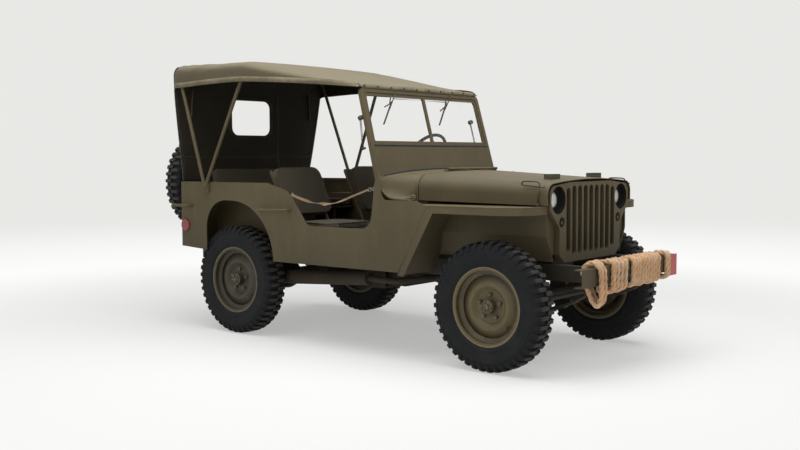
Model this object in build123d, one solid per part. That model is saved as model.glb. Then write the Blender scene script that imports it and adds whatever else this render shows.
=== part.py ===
"""A light army 4x4 car of the 1940s with its soft top up, as separate pieces at real size.

Millimetres. +X is forward, +Y is the car's left and +Z is up. All places below are measured from the
middle of the wheelbase at ground level, and save() moves them so that the origin is under the middle of
the whole car.
"""

import os
from math import cos, radians, sin, sqrt, tan

from build123d import *

# ---- driving dimensions --------------------------------------------------------------------------
WHEELBASE = 2032
TRACK = 1245
BUMPER_FACE_X = 1545  # front face of the front bumper
BODY_HALF = 724  # outside of the tub
OVERALL_HALF = 787.5  # out to the body handles

TYRE_R = 361
TYRE_HALF_W = 80
TREAD_HALF_W = 60
BEAD_R = 204
BEAD_HALF_W = 52
TYRE_WALL = 14
BEAD_FACE_W = 57  # outside of the bead from the mid-plane
BEAD_SIDES = 11
SHOULDER_R = 330
GROOVE_R, GROOVE_HALF_W = 347, 56  # floor of the gaps between the tread bars
CAVITY_R, CAVITY_HALF_W = 325, 56
LUG_COUNT = 44
LUG_SHARE = 0.55  # of the pitch, taken up by a bar
RIM_FLANGE_R = 220
RIM_HALF_W = 64
RIM_WELL_R = 180
RIM_SHEET = 4
DISC_SHEET = 6
HUB_R = 38
HUB_REACH = 58  # outer end of the hub from the wheel's mid-plane
DRUM_R = 142
DRUM_WALL = 6
DRUM_DEPTH = 40
SPINDLE_R = 22
RUN_FIT = 0.05  # radial clearance of a shaft in its bore
LUG_FACE_GAP = 0.2  # between faces of pieces that are bolted or pressed together

RAIL_INNER = 327.5
RAIL_WIDE = 44
RAIL_WALL = 5
BUMPER_Z0 = 490
BUMPER_Z1 = 588
BUMPER_DEEP = 50
BUMPER_WALL = 5
BUMPER_HALF = 575
PLATE_T = 3
RAIL_REAR_Z = (466, 566)
HANGER_T = 8

AXLE_TUBE_R = 35
DIFF_R = 103
DIFF_Y = -200
BALL_R = 62
BALL_GAP = 2
BALL_CUT = 20  # how far the axle's ball reaches outside the kingpin
NOSE_REACH = 150
KINGPIN_Y = 515
KINGPIN_R = 12
KNUCKLE_R = 80
BACKPLATE_Y = 572
BACKPLATE_T = 5
STEER_ARM = 150
TIE_ROD_Z = 375
TIE_ROD_R = 13
TIE_PIN_R = 8

SPRING_WIDE = RAIL_WIDE
SPRING_HALF_FRONT = 450
SPRING_HALF_REAR = 500
SPRING_EYE_Z = 440
LEAF = 7
LEAVES = 5

SHEET = 5  # body panels with their stiffening
FLOOR_Z = 574
REAR_FLOOR_Z = 620
TUB_TOP_Z = 1014
TUB_REAR_X = -1540
TUB_LOW_REAR_Z = 567
TUB_CORNER_R = 40
REAR_PANEL_X = TUB_REAR_X + 45
SILL_LOW_Z = 513
ARCH_TOP_Z = 894
ARCH_R = 389
LEDGE_Z = 917
HOUSE_Y = 500  # inner wall of the rear wheel houses
HOUSE_TOP_Z = 906
HOUSE_REAR_X = -1404
HOUSE_ARC = (-990, 505)  # centre of the wheel house's and the arch's round front
ENGINE_REAR_X = 455
ENGINE_LOW_Z = 505
CASE_REAR_X = -190
COLUMN_GAP = 6

COWL_REAR_X = 176
HOOD_REAR_X = 453
HOOD_FRONT_X = 1282
HOOD_GAP = 5
HOOD_SHEET = 4
HINGE_PIN_R = 4
HINGE_BARREL_R = 8
HINGE_Z = 1104

FENDER_Z = 905
FENDER_LIP = 42
FENDER_SHEET = 5
FENDER_FRONT_X = 1262
FENDER_CORNER_R = 190

GRILLE_X = 1280
GRILLE_SHEET = 4
GRILLE_LOW_Z = 590
EAR_HALF = 457
SLOT_DEEP = 16
GRILLE_TOP_Z = 1035
SLOT_COUNT = 9
SLOT_PITCH = 64.75
SLOT_WIDE = 45
LAMP_Y = 367
LAMP_Z = 938
LAMP_HOLE_R = 77
LAMP_DEEP = 95
LENS_BACK = 42  # how far the lamp's lens lies behind the grille
MARKER_Y = 330
MARKER_Z = 815
MARKER_HOLE_R = 29

RAKE = 15.4  # windscreen, degrees from upright
SCREEN_BASE = (181, 1081)
SCREEN_HIGH = 536  # up the slope
SCREEN_PANEL = 180  # height of the closed lower panel
SCREEN_HALF_LOW = 626
SCREEN_HALF_TOP = 612
SCREEN_FRAME = 30
SCREEN_DEEP = 24
GLASS_FRAME = 20
GLASS_FRAME_DEEP = 14
GLASS_T = 5
PILLAR = 22

BOW_R = 12
BOW_FOOT = (-1240, 975)
BOW_KNEE = 60  # how far the hoop's bend stands outside the roof's flat part
BOW_BEND = 90
BOW_CLEAR = 6  # between a hoop's foot and the tub's side
CORNER_BULGE = 0.72  # of the roof's corner, between a chamfer and a square
TURN_SHARE = 0.3  # of an inset, by which the ends of that corner move along it
TOP_SHEET = 4
TOP_FRONT_X = 45
TOP_BOW_X = -880
TOP_REAR_X = TUB_REAR_X - 32
CURTAIN_LOW_Z = 1016
CURTAIN_FOOT = (-665, 585)  # where its lower corners hang, right and left
CURTAIN_WINDOW = (385, 262)  # wide, high
CURTAIN_WINDOW_Z = 1472
CURTAIN_WINDOW_Y = -19
CURTAIN_WINDOW_R = 60

CLOTH_GAP = 0.6
SEAT_TUBE_R = 11
SEAT_HALF_W = 200
SEAT_Y = 362
SEAT_TOP_Z = 1115
SEAT_BACK_FRONT = (-575, -714)  # x of the back pad's face at its foot and its top
SEAT_FRONT_X, SEAT_REAR_X, SEAT_RISE = -240, -606, 690
SEAT_TOP_X, SEAT_TUBE_TOP_Z = -798, 1082
BENCH_X = (-1380, -1000)  # rear and front of its pan
BENCH_Z = (800, 815, 880)  # underside of the pan, of the pad and the pad's top

STEERING_Y = 370
STEERING_HUB = (-242, 1157)
STEERING_ANGLE = 33  # column above the horizontal, degrees
STEERING_WHEEL_R = 220
STEERING_RIM_R = 11
COLUMN_R = 20
STEERING_SHAFT_R = 9

HANDLE_R = 9
SIDE_HANDLE = ((-701, 842), (-444, 848))  # x and z of its two ends
CORNER_HANDLE = (-1400, -640, 850)  # x of its end on the side, y of its end on the rear, z

SPARE_Y = -335
SPARE_Z = 1003
SPARE_X = TUB_REAR_X - 132

BEND_SHARE = 0.45  # of the shorter run, taken up by a bend
ROPE_R = 16
ROPE_SLACK = 3  # of the loose turn
ROPE_GAP = 0.3
BLOCK = (50, 95, 27)  # a windscreen rest on the hood: long, wide, high
BLOCK_PLACE = (1163, 242)

# ---- places that follow from them ----------------------------------------------------------------
AXLE_X = WHEELBASE / 2
WHEEL_Y = TRACK / 2
RAIL_MID = RAIL_INNER + RAIL_WIDE / 2
RAIL_OUTER = RAIL_INNER + RAIL_WIDE
RAIL_REAR_X = TUB_REAR_X - 5
SPARE_REAR_X = SPARE_X - TYRE_HALF_W
CENTRE_X = (BUMPER_FACE_X + PLATE_T + SPARE_REAR_X) / 2
ROPE_TURNS = (-217, RAIL_INNER - HANGER_T - 5.5)  # first and last y of the long run of turns
ROPE_END = (RAIL_OUTER + HANGER_T + 4.5, 448)  # of the two turns outside the left rail
BORE = RUN_FIT

# ---- helpers -------------------------------------------------------------------------------------
SIDE_VIEW = Plane(origin=(0, 0, 0), x_dir=(1, 0, 0), z_dir=(0, -1, 0))
FRONT_VIEW = Plane(origin=(0, 0, 0), x_dir=(0, 1, 0), z_dir=(1, 0, 0))


def flat(corners):
    """The face whose outline has these corners (a, b, fillet radius)."""
    points = [(a, b) for a, b, _ in corners]
    return make_face(FilletPolyline(points, radius=[r for _, _, r in corners], close=True))


def sharp(points):
    return [(a, b, 0) for a, b in points]


def side_plate(corners, y0, y1):
    """A plate whose outline is drawn as (x, z, radius), from y0 to y1."""
    return extrude(Pos(0, y0, 0) * (SIDE_VIEW * flat(corners)), y1 - y0, dir=(0, 1, 0))


def front_plate(corners, x0, x1):
    """A plate whose outline is drawn as (y, z, radius), from x0 to x1."""
    return extrude(Pos(x0, 0, 0) * (FRONT_VIEW * flat(corners)), x1 - x0, dir=(1, 0, 0))


def top_plate(corners, z0, z1):
    """A plate whose outline is drawn as (x, y, radius), from z0 to z1."""
    return extrude(Pos(0, 0, z0) * flat(corners), z1 - z0, dir=(0, 0, 1))


def block(x, y, z):
    """A box from its three ranges."""
    (x0, x1), (y0, y1), (z0, z1) = x, y, z
    return Pos((x0 + x1) / 2, (y0 + y1) / 2, (z0 + z1) / 2) * Box(x1 - x0, y1 - y0, z1 - z0)


def rod(start, end, radius):
    """A round bar between two points."""
    a, b = Vector(*start), Vector(*end)
    place = Plane(origin=a, z_dir=(b - a).normalized())
    return extrude(place * Circle(radius), (b - a).length)


def bend_radii(points, most):
    """The bend at each corner of a route: as asked, or less where a run is short."""
    radii = []
    for a, b, c in zip(points, points[1:], points[2:]):
        before, after = Vector(*b) - Vector(*a), Vector(*c) - Vector(*b)
        half_turn = radians(before.get_angle(after) / 2)
        radii.append(min(most, BEND_SHARE * min(before.length, after.length) / tan(half_turn)))
    return radii


def bar(points, radius, bend=40):
    """A round bar through the points, bent at each corner."""
    path = FilletPolyline(points, radius=bend_radii(points, bend))
    start = Vector(*points[0])
    place = Plane(origin=start, z_dir=(Vector(*points[1]) - start).normalized())
    return sweep(place * Circle(radius), path=path)


def fuse(*solids):
    whole = solids[0]
    for solid in solids[1:]:
        whole = whole + solid
    return whole


def mirrored(solid):
    return mirror(solid, about=Plane.XZ)


def both(solid):
    """The piece and its mirror image on the other side of the car."""
    return [solid, mirrored(solid)]


def save(node, *pieces):
    """Write one sub-part, moved so that the origin is under the middle of the car."""
    solids = [s for piece in pieces for s in piece.solids()]
    whole = Pos(-CENTRE_X, 0, 0) * Compound(children=[Solid(s.wrapped) for s in solids])
    whole.label = node
    export_step(whole, f"parts/{node}.step")


# ---- wheels and tyres: made about the Y axis, with the outer side towards -Y ----------------------
def turned(profile):
    """A solid turned about Y from corners (radius, distance outwards)."""
    face = make_face(Polyline([(r, -o) for r, o in profile], close=True))
    return revolve(face, Axis.Y)


def rubber_ring(radius, out, degrees_):
    """A point of the tyre: its distance from the axle, from the mid-plane, and its turn from the bottom."""
    a = radians(degrees_)
    return Vector(radius * sin(a), out, -radius * cos(a))


def tyre():
    """The tyre with a row of square bars across its tread, in flat faces, hollow towards the rim."""
    pitch = 360 / LUG_COUNT
    half = LUG_SHARE * pitch / 2
    tip_r, bead_r = TYRE_R / cos(radians(half)), BEAD_R / cos(radians(180 / BEAD_SIDES))
    faces = []

    def face(*points):
        faces.append(Face(Wire.make_polygon([rubber_ring(*point) for point in points], close=True)))

    for k in range(LUG_COUNT):
        rise, fall, following = k * pitch - half, k * pitch + half, (k + 1) * pitch - half
        bar_top = (tip_r, TREAD_HALF_W, rise, fall)
        gap_floor = (GROOVE_R, GROOVE_HALF_W, fall, following)
        for r, out, a, b in (bar_top, gap_floor):
            face((r, -out, a), (r, -out, b), (r, out, b), (r, out, a))
            for s in (-1, 1):
                low = [(SHOULDER_R, s * TYRE_HALF_W, b), (SHOULDER_R, s * TYRE_HALF_W, a)]
                face((r, s * out, a), (r, s * out, b), *low)
        for a in (rise, fall):
            side = [(tip_r, TREAD_HALF_W), (SHOULDER_R, TYRE_HALF_W), (GROOVE_R, GROOVE_HALF_W)]
            outline = side + [(r, -out) for r, out in reversed(side)]
            face(*[(r, out, a) for r, out in outline])
    step = LUG_COUNT // BEAD_SIDES
    for j in range(BEAD_SIDES):
        a, b = j * step * pitch, (j + 1) * step * pitch
        turns = [k * pitch + shift for k in range(j * step, (j + 1) * step) for shift in (-half, half)]
        turns.append(b - half)
        for s in (-1, 1):
            outer = [(SHOULDER_R, s * TYRE_HALF_W, turn) for turn in turns]
            bead = [(bead_r, s * BEAD_FACE_W, turn) for turn in (a, b)]
            heel = [(bead_r, s * (BEAD_FACE_W - TYRE_WALL), turn) for turn in (a, b)]
            crown = [(CAVITY_R, s * CAVITY_HALF_W, turn) for turn in (a, b)]
            for i in range(2 * step):
                face(bead[i >= step], outer[i], outer[i + 1])
            face(bead[0], outer[step], bead[1])
            face(bead[0], bead[1], heel[1], heel[0])
            face(heel[0], heel[1], crown[1], crown[0])
        face(*[(CAVITY_R, s * CAVITY_HALF_W, turn) for s, turn in ((-1, a), (-1, b), (1, b), (1, a))])
    return Solid(Shell(faces))


def rim_disc():
    """The drop-centre rim with its dished disc, as one turned solid."""
    s, d = RIM_SHEET, DISC_SHEET
    seat = BEAD_R - LUG_FACE_GAP
    rim = turned(
        [
            (RIM_FLANGE_R, RIM_HALF_W),
            (RIM_FLANGE_R, RIM_HALF_W - s),
            (seat, BEAD_HALF_W + 6),
            (seat, 30),
            (RIM_WELL_R, 20),
            (RIM_WELL_R, -20),
            (seat, -30),
            (seat, -BEAD_HALF_W - 6),
            (RIM_FLANGE_R, -RIM_HALF_W + s),
            (RIM_FLANGE_R, -RIM_HALF_W),
            (seat - s, -RIM_HALF_W + s),
            (seat - s, -30 - s),
            (RIM_WELL_R - s, -20 - s),
            (RIM_WELL_R - s, 20 + s),
            (seat - s, 30 + s),
            (seat - s, RIM_HALF_W - s),
        ]
    )
    dish = [(RIM_WELL_R - s + 1, 8), (158, 20), (132, 34), (112, 34), (90, 14), (HUB_R - 1, 14)]
    disc = turned(dish + [(r, o - d) for r, o in reversed(dish)])
    return rim + disc


def wheel():
    """Rim, disc, hub and brake drum, with the bore for the spindle."""
    drum_face = -2
    drum = turned(
        [
            (HUB_R - 1, drum_face),
            (DRUM_R, drum_face),
            (DRUM_R, drum_face - DRUM_DEPTH),
            (DRUM_R - DRUM_WALL, drum_face - DRUM_DEPTH),
            (DRUM_R - DRUM_WALL, drum_face - DRUM_WALL),
            (HUB_R - 1, drum_face - DRUM_WALL),
        ]
    )
    inner_end, bore_end, bore_r = drum_face - 30, HUB_REACH - 10, SPINDLE_R + BORE
    hub = [(0, HUB_REACH), (HUB_R - 6, HUB_REACH), (HUB_R, HUB_REACH - 8)]
    hub = turned(hub + [(HUB_R, inner_end), (0, inner_end)])
    bore = turned([(0, bore_end), (bore_r, bore_end), (bore_r, -60), (0, -60)])
    return fuse(rim_disc(), drum, hub) - bore


def wheel_place(x, side):
    """Where a wheel made at the origin goes: side is -1 for the car's right and 1 for its left."""
    return Pos(x, side * WHEEL_Y, TYRE_R)


def on_side(solid, side):
    """A piece made for the right side, turned over for the left."""
    return mirrored(solid) if side > 0 else solid


SIDES = (("right", -1), ("left", 1))


# ---- frame ---------------------------------------------------------------------------------------
def rail_depth():
    """The rail's side shape, columns x, bottom, top."""
    w = BUMPER_WALL
    behind = BUMPER_FACE_X - BUMPER_DEEP - 5
    return [
        (RAIL_REAR_X, *RAIL_REAR_Z),
        (RAIL_REAR_X + 65, 470, 570),
        (-1180, 508, 612),
        (-720, 470, FLOOR_Z - 4),
        (500, 470, FLOOR_Z - 4),
        (800, 490, 584),
        (behind, BUMPER_Z0 + w, BUMPER_Z1 - w),
        (BUMPER_FACE_X - w, BUMPER_Z0 + w, BUMPER_Z1 - w),
    ]


def rail():
    """The right rail: a channel that opens towards the middle of the car."""
    rows = rail_depth()
    w = RAIL_WALL
    outer = [(x, low) for x, low, _ in rows] + [(x, top) for x, _, top in reversed(rows)]
    inner = [(x, low + w) for x, low, _ in rows] + [(x, top - w) for x, _, top in reversed(rows)]
    channel = side_plate(sharp(outer), -RAIL_OUTER, -RAIL_INNER)
    pocket = side_plate(sharp(inner), -RAIL_OUTER + w, -RAIL_INNER + w)
    return channel - pocket + spring_hangers()


def spring_hangers():
    """Plates on both faces of the rail that hold the spring eyes."""
    plates = []
    high, low = 530, SPRING_EYE_Z - 20
    for axle_x, half in ((AXLE_X, SPRING_HALF_FRONT), (-AXLE_X, SPRING_HALF_REAR)):
        for x in (axle_x - half, axle_x + half):
            shape = [(x - 26, high, 0), (x - 18, low, 14), (x + 18, low, 14), (x + 26, high, 0)]
            for y in (-RAIL_OUTER - HANGER_T, -RAIL_INNER):
                plates.append(side_plate(shape, y, y + HANGER_T))
    return fuse(*plates)


def cross_members():
    """Members between the rails, columns: x from, x to, z from, z to, then the skid plate."""
    rows = [
        (RAIL_REAR_X, RAIL_REAR_X + 52, RAIL_REAR_Z[0], RAIL_REAR_Z[1]),
        (-745, -700, 478, 560),
        (800, 850, 492, ENGINE_LOW_Z),
        (1390, 1440, 505, 575),
    ]
    members = [block((a, b), (-RAIL_INNER, RAIL_INNER), (c, d)) for a, b, c, d in rows]
    skid_x, skid_z, skid_t = (-120, 0), 345, 16
    skid = block(skid_x, (-RAIL_INNER, RAIL_INNER), (skid_z, skid_z + skid_t))
    for side in (-1, 1):
        skid += block(skid_x, sorted((side * (RAIL_INNER - 10), side * RAIL_INNER)), (skid_z, 530))
    hangers = spring_hangers()
    return [member - hangers - mirrored(hangers) for member in members] + [skid]


def front_bumper():
    back, wide, w = BUMPER_FACE_X - BUMPER_DEEP, (-BUMPER_HALF, BUMPER_HALF), BUMPER_WALL
    face = block((back, BUMPER_FACE_X), wide, (BUMPER_Z0, BUMPER_Z1))
    return face - block((back, BUMPER_FACE_X - w), wide, (BUMPER_Z0 + w, BUMPER_Z1 - w))


def rear_bumperettes():
    """Short guards behind each rail end, on the rear cross member."""
    wide, deep, high, wall = (-480, -350), 45, (462, 592), 7
    back = RAIL_REAR_X - deep
    guard = block((back, RAIL_REAR_X), wide, high)
    inside = [(low + wall, top - wall) for low, top in (wide, high)]
    guard -= block((back + wall, RAIL_REAR_X), *inside)
    arm = block((RAIL_REAR_X - 6, RAIL_REAR_X), (wide[0], -RAIL_INNER), (472, 562))
    return both(guard + arm)


def pintle_hook():
    """The towing hook on the rear cross member, with its closed latch."""
    z, plate_t, half = 517, 8, 48
    face = RAIL_REAR_X - plate_t
    plate = block((face, RAIL_REAR_X), (-half, half), (z - half, z + half))
    shank = rod((face, 0, z), (face - 43, 0, z), 24)
    ring = Pos(face - 70, 0, z) * Rot(90, 0, 0) * Torus(28, 11)
    return fuse(plate, shank, ring)


# ---- axles, springs and steering ------------------------------------------------------------------
def spring_arc(half):
    """The radius of a spring's top surface and the height of its centre."""
    drop = SPRING_EYE_Z - spring_top()
    radius = (half**2 + drop**2) / (2 * drop)
    return radius, spring_top() + radius


def axle(x, ends, half):
    """The tube with its offset differential and the spring pads, which sit on the springs' top leaves."""
    tube = rod((x, -ends, TYRE_R), (x, ends, TYRE_R), AXLE_TUBE_R)
    diff = Pos(x, DIFF_Y, TYRE_R) * Sphere(DIFF_R)
    nose_side = -1 if x > 0 else 1
    nose = rod((x, DIFF_Y, TYRE_R), (x + nose_side * NOSE_REACH, DIFF_Y, TYRE_R + 10), 42)
    radius, centre_z = spring_arc(half)
    pads = []
    for y in (-RAIL_MID, RAIL_MID):
        pad = block((x - 45, x + 45), (y - 28, y + 28), (spring_top() - 2, TYRE_R))
        pads.append(pad & rod((x, y - 30, centre_z), (x, y + 30, centre_z), radius - LUG_FACE_GAP))
    return fuse(tube, diff, nose, *pads)


def spring_top():
    """The top of a spring's leaves at its axle."""
    return TYRE_R - AXLE_TUBE_R - 8


def front_axle():
    body = axle(AXLE_X, KINGPIN_Y, SPRING_HALF_FRONT)
    for _, side in SIDES:
        y = side * KINGPIN_Y
        ball = Pos(AXLE_X, y, TYRE_R) * Sphere(BALL_R)
        keep = sorted((y - side * BALL_R, y + side * BALL_CUT))
        ball &= block((AXLE_X - BALL_R, AXLE_X + BALL_R), keep, (0, 2 * TYRE_R))
        hole = rod((AXLE_X, y, TYRE_R - BALL_R - 1), (AXLE_X, y, TYRE_R + BALL_R + 1), KINGPIN_R + BORE)
        body = body + ball - hole
    return body


def rear_axle():
    body = axle(-AXLE_X, BACKPLATE_Y, SPRING_HALF_REAR)
    for _, side in SIDES:
        body += on_side(spindle_end(), side).moved(Location((-AXLE_X, 0, TYRE_R)))
    return body


def spindle_end():
    """The brake's backing plate and the spindle, about the origin's Y axis, for the right side."""
    plate = rod((0, -BACKPLATE_Y, 0), (0, -BACKPLATE_Y - BACKPLATE_T, 0), DRUM_R - 4)
    tip = WHEEL_Y + HUB_REACH - 14
    root = rod((0, -BACKPLATE_Y - BACKPLATE_T, 0), (0, -WHEEL_Y + 34, 0), 30)
    return fuse(plate, root, rod((0, -BACKPLATE_Y, 0), (0, -tip, 0), SPINDLE_R))


def knuckle():
    """The right steering knuckle: shell round the axle's ball, kingpins, arm, plate and spindle."""
    deep, shallow = BACKPLATE_Y - KINGPIN_Y + 1, 24
    outer, inner = KNUCKLE_R, BALL_R + BALL_GAP

    def at(radius, y):
        return sqrt(radius**2 - y**2)

    profile = make_face(
        [
            ThreePointArc((at(outer, shallow), shallow), (outer, 0), (at(outer, deep), -deep)),
            Line((at(outer, deep), -deep), (at(inner, deep), -deep)),
            ThreePointArc((at(inner, deep), -deep), (inner, 0), (at(inner, shallow), shallow)),
            Line((at(inner, shallow), shallow), (at(outer, shallow), shallow)),
        ]
    )
    body = Pos(0, -KINGPIN_Y, 0) * revolve(profile, Axis.Y)
    for s in (-1, 1):
        body += rod((0, -KINGPIN_Y, s * (BALL_R - 24)), (0, -KINGPIN_Y, s * (KNUCKLE_R + 4)), KINGPIN_R)
        body += rod((0, -KINGPIN_Y, s * (KNUCKLE_R - 8)), (0, -KINGPIN_Y, s * (KNUCKLE_R + 4)), 24)
    arm_z = TIE_ROD_Z - TYRE_R
    low, high = arm_z - 30, arm_z - 16
    body += block((BALL_R + BALL_GAP + 4, STEER_ARM), (-KINGPIN_Y - 14, -KINGPIN_Y + 14), (low, high))
    body += rod((STEER_ARM, -KINGPIN_Y, low), (STEER_ARM, -KINGPIN_Y, high), 16)
    body -= rod((STEER_ARM, -KINGPIN_Y, low - 1), (STEER_ARM, -KINGPIN_Y, high + 1), TIE_PIN_R + BORE)
    return (body + spindle_end()).moved(Location((AXLE_X, 0, TYRE_R)))


def tie_rod():
    """The rod between the knuckles' arms; its left pin has clearance, as the linkage is opened there."""
    x = AXLE_X + STEER_ARM
    tube = rod((x, -KINGPIN_Y, TIE_ROD_Z), (x, KINGPIN_Y, TIE_ROD_Z), TIE_ROD_R)
    ends = [Pos(x, s * KINGPIN_Y, TIE_ROD_Z) * Sphere(TIE_ROD_R + 1) for s in (-1, 1)]
    pins = [
        rod((x, s * KINGPIN_Y, TIE_ROD_Z), (x, s * KINGPIN_Y, TIE_ROD_Z - 28), r)
        for s, r in ((-1, TIE_PIN_R), (1, TIE_PIN_R - 0.3))
    ]
    return fuse(tube, *ends, *pins)


def leaf_spring(axle_x, half):
    """One spring as bent leaves, the long one on top, with an eye at each end."""
    radius, centre_z = spring_arc(half)
    body = None
    for i in range(LEAVES):
        reach = half * (1 - i * 0.8 / LEAVES)
        r0, r1 = radius + i * LEAF, radius + (i + 1) * LEAF
        ends = [(axle_x, y, centre_z) for y in (-SPRING_WIDE / 2, SPRING_WIDE / 2)]
        ring = rod(*ends, r1) - rod(*ends, r0)
        along = (axle_x - reach, axle_x + reach)
        leaf = ring & block(along, (-SPRING_WIDE, SPRING_WIDE), (0, SPRING_EYE_Z + 20))
        body = leaf if body is None else body + leaf
    for x in (axle_x - half, axle_x + half):
        body += rod((x, -SPRING_WIDE / 2, SPRING_EYE_Z), (x, SPRING_WIDE / 2, SPRING_EYE_Z), 14)
    return body


def leaf_springs():
    springs = []
    for axle_x, half in ((AXLE_X, SPRING_HALF_FRONT), (-AXLE_X, SPRING_HALF_REAR)):
        for y in (-RAIL_MID, RAIL_MID):
            springs.append(Pos(0, y, 0) * leaf_spring(axle_x, half))
    return springs


def column_point(along):
    """A point on the steering column, measured down from the steering wheel's hub."""
    x, z = STEERING_HUB
    a = radians(STEERING_ANGLE)
    return (x + along * cos(a), STEERING_Y, z - along * sin(a))


def steering_column():
    """The column's tube and the steering box on the left rail."""
    box = block((598, 656), (RAIL_OUTER, RAIL_OUTER + 60), (490, 595))
    tube = rod(column_point(70), column_point(1040), COLUMN_R)
    bore = rod(column_point(60), column_point(400), STEERING_SHAFT_R + BORE)
    return tube - bore - block((0, 900), (0, RAIL_OUTER), (470, 612)) + box


def steering_wheel():
    """The three-spoke wheel on its shaft."""
    hub_at = column_point(0)
    tilt = Plane(origin=hub_at, x_dir=(0, 1, 0), z_dir=Vector(*hub_at) - Vector(*column_point(100)))
    ring_r = STEERING_WHEEL_R - STEERING_RIM_R
    wheel = Pos(0, 0, -30) * Cylinder(26, 44) + Pos(0, 0, -150) * Cylinder(STEERING_SHAFT_R, 260)
    for angle in (90, 210, 330):
        wheel += Rot(0, 0, angle) * Pos(ring_r / 2, 0, -12) * Box(ring_r, 16, 6)
    return tilt * (wheel + Pos(0, 0, -8) * Torus(ring_r, STEERING_RIM_R))


# ---- running gear under the floor ------------------------------------------------------------------
def engine_block():
    return block((ENGINE_REAR_X, 1070), (-170, 170), (ENGINE_LOW_Z, 950))


def gearbox():
    box = block((120, ENGINE_REAR_X - LUG_FACE_GAP), (-95, 95), (400, FLOOR_Z - 8))
    case = block((CASE_REAR_X, 120), (-265, 110), (361, FLOOR_Z - 8))
    return box + case


def propeller_shafts():
    """From the transfer case to each axle's nose."""
    radius, out_z, nose_z = 24, 440, TYRE_R + 10
    reach = NOSE_REACH + LUG_FACE_GAP
    front = rod((120 + LUG_FACE_GAP, DIFF_Y, out_z), (AXLE_X - reach, DIFF_Y, nose_z), radius)
    rear = rod((CASE_REAR_X - LUG_FACE_GAP, DIFF_Y, out_z), (-AXLE_X + reach, DIFF_Y, nose_z), radius)
    front -= axle(AXLE_X, 100, SPRING_HALF_FRONT)
    rear -= axle(-AXLE_X, 100, SPRING_HALF_REAR)
    return [front - gearbox(), rear - gearbox()]


def exhaust():
    """Silencer under the right sill with the pipe to the engine's side and a short tail."""
    y = -465
    silencer = rod((-760, y, 380), (-10, y, 425), 47)
    route = [(-30, y, 424), (200, y, 418), (380, -290, 440), (640, -190, 470), (640, -190, 600)]
    tail = rod((-755, y, 380), (-850, y, 374), 17)
    return fuse(silencer, bar(route, 19.5, 120), tail)


def radiator():
    """The radiator, on a foot that rests on both frame rails."""
    deep, core_half, core_z = (1165, 1225), 275, (610, 1000)
    foot_half, foot_z = RAIL_INNER + 12, (583.6, core_z[0] + 2)
    core = block(deep, (-core_half, core_half), core_z)
    return core + block(deep, (-foot_half, foot_half), foot_z)


def fuel_tank():
    """The tank under the driver's seat."""
    long, half, high = (-550, -300), 190, 84
    return block(long, (SEAT_Y - half, SEAT_Y + half), (FLOOR_Z, FLOOR_Z + high))


# ---- body ----------------------------------------------------------------------------------------
def section(x, half, low, shoulder, top, radius):
    """A closed hood-like section: upright sides, rounded shoulders and a crowned top."""
    edges = [
        Line((-half, low), (-half, shoulder)),
        ThreePointArc((-half, shoulder), (0, top), (half, shoulder)),
        Line((half, shoulder), (half, low)),
        Line((half, low), (-half, low)),
    ]
    face = make_face(edges)
    upper = [v for v in face.vertices() if v.Y > shoulder - 1]
    return Pos(x, 0, 0) * (FRONT_VIEW * fillet(upper, radius))


# columns: x, half width, bottom z, shoulder z, crown z, shoulder radius
COWL_REAR = (COWL_REAR_X, 640, LEDGE_Z, 1056, 1099, 92)
HOOD_REAR = (HOOD_REAR_X, 553, LEDGE_Z + 8, 1071, 1095, 84)
HOOD_FRONT = (HOOD_FRONT_X, 487, LEDGE_Z - 5, 1026, 1052, 66)


def hood_like(rear, front):
    return loft([section(*rear), section(*front)], ruled=True)


def shrunk(row, sheet, dx, low_by=60):
    """The same section, a sheet's thickness further in, moved along X and open below."""
    x, half, low, shoulder, top, radius = row
    return (x + dx, half - sheet, low - low_by, shoulder - sheet, top - sheet, radius - sheet)


def stretched(rear, front, by):
    """A pair of sections drawn a little past both ends of the pair that is given."""
    share = by / (front[0] - rear[0])
    steps = [(b - a) * share for a, b in zip(rear, front)]
    return [a - d for a, d in zip(rear, steps)], [b + d for b, d in zip(front, steps)]


def inside_of(rear, front, sheet, low_by=60):
    """The space inside a hood-like shell, past both its ends and open below."""
    return hood_like(*[shrunk(row, sheet, 0, low_by) for row in stretched(rear, front, 3)])


def cowl_front():
    """The cowl's front section: the hood's rear one, a gap behind it."""
    return (HOOD_REAR_X - HOOD_GAP,) + (HOOD_REAR[1], LEDGE_Z) + HOOD_REAR[3:]


def cowl_solid():
    return hood_like(COWL_REAR, cowl_front())


def cowl():
    """The cowl shell with its dash, firewall, ledges and windscreen posts."""
    front_x = HOOD_REAR_X - HOOD_GAP
    solid = cowl_solid()
    space = block((COWL_REAR_X + SHEET, front_x - SHEET), (-BODY_HALF, BODY_HALF), (0, 2 * LEDGE_Z))
    body = solid - (inside_of(COWL_REAR, cowl_front(), SHEET) & space)
    half = HOOD_REAR[1] - 100
    body += block((front_x - SHEET, front_x), (-half, half), (770, LEDGE_Z + 1))
    for _, side in SIDES:
        y = sorted((side * (HOOD_REAR[1] - 2), side * (BODY_HALF - SHEET)))
        body += block((300, front_x), y, (LEDGE_Z - SHEET, LEDGE_Z + 1))
        y = sorted((side * (COWL_REAR[1] - 50), side * (BODY_HALF - SHEET)))
        body += block((262, 301), y, (LEDGE_Z - SHEET, 1044)) - solid
    return body + hinge_barrels(True)


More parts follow.
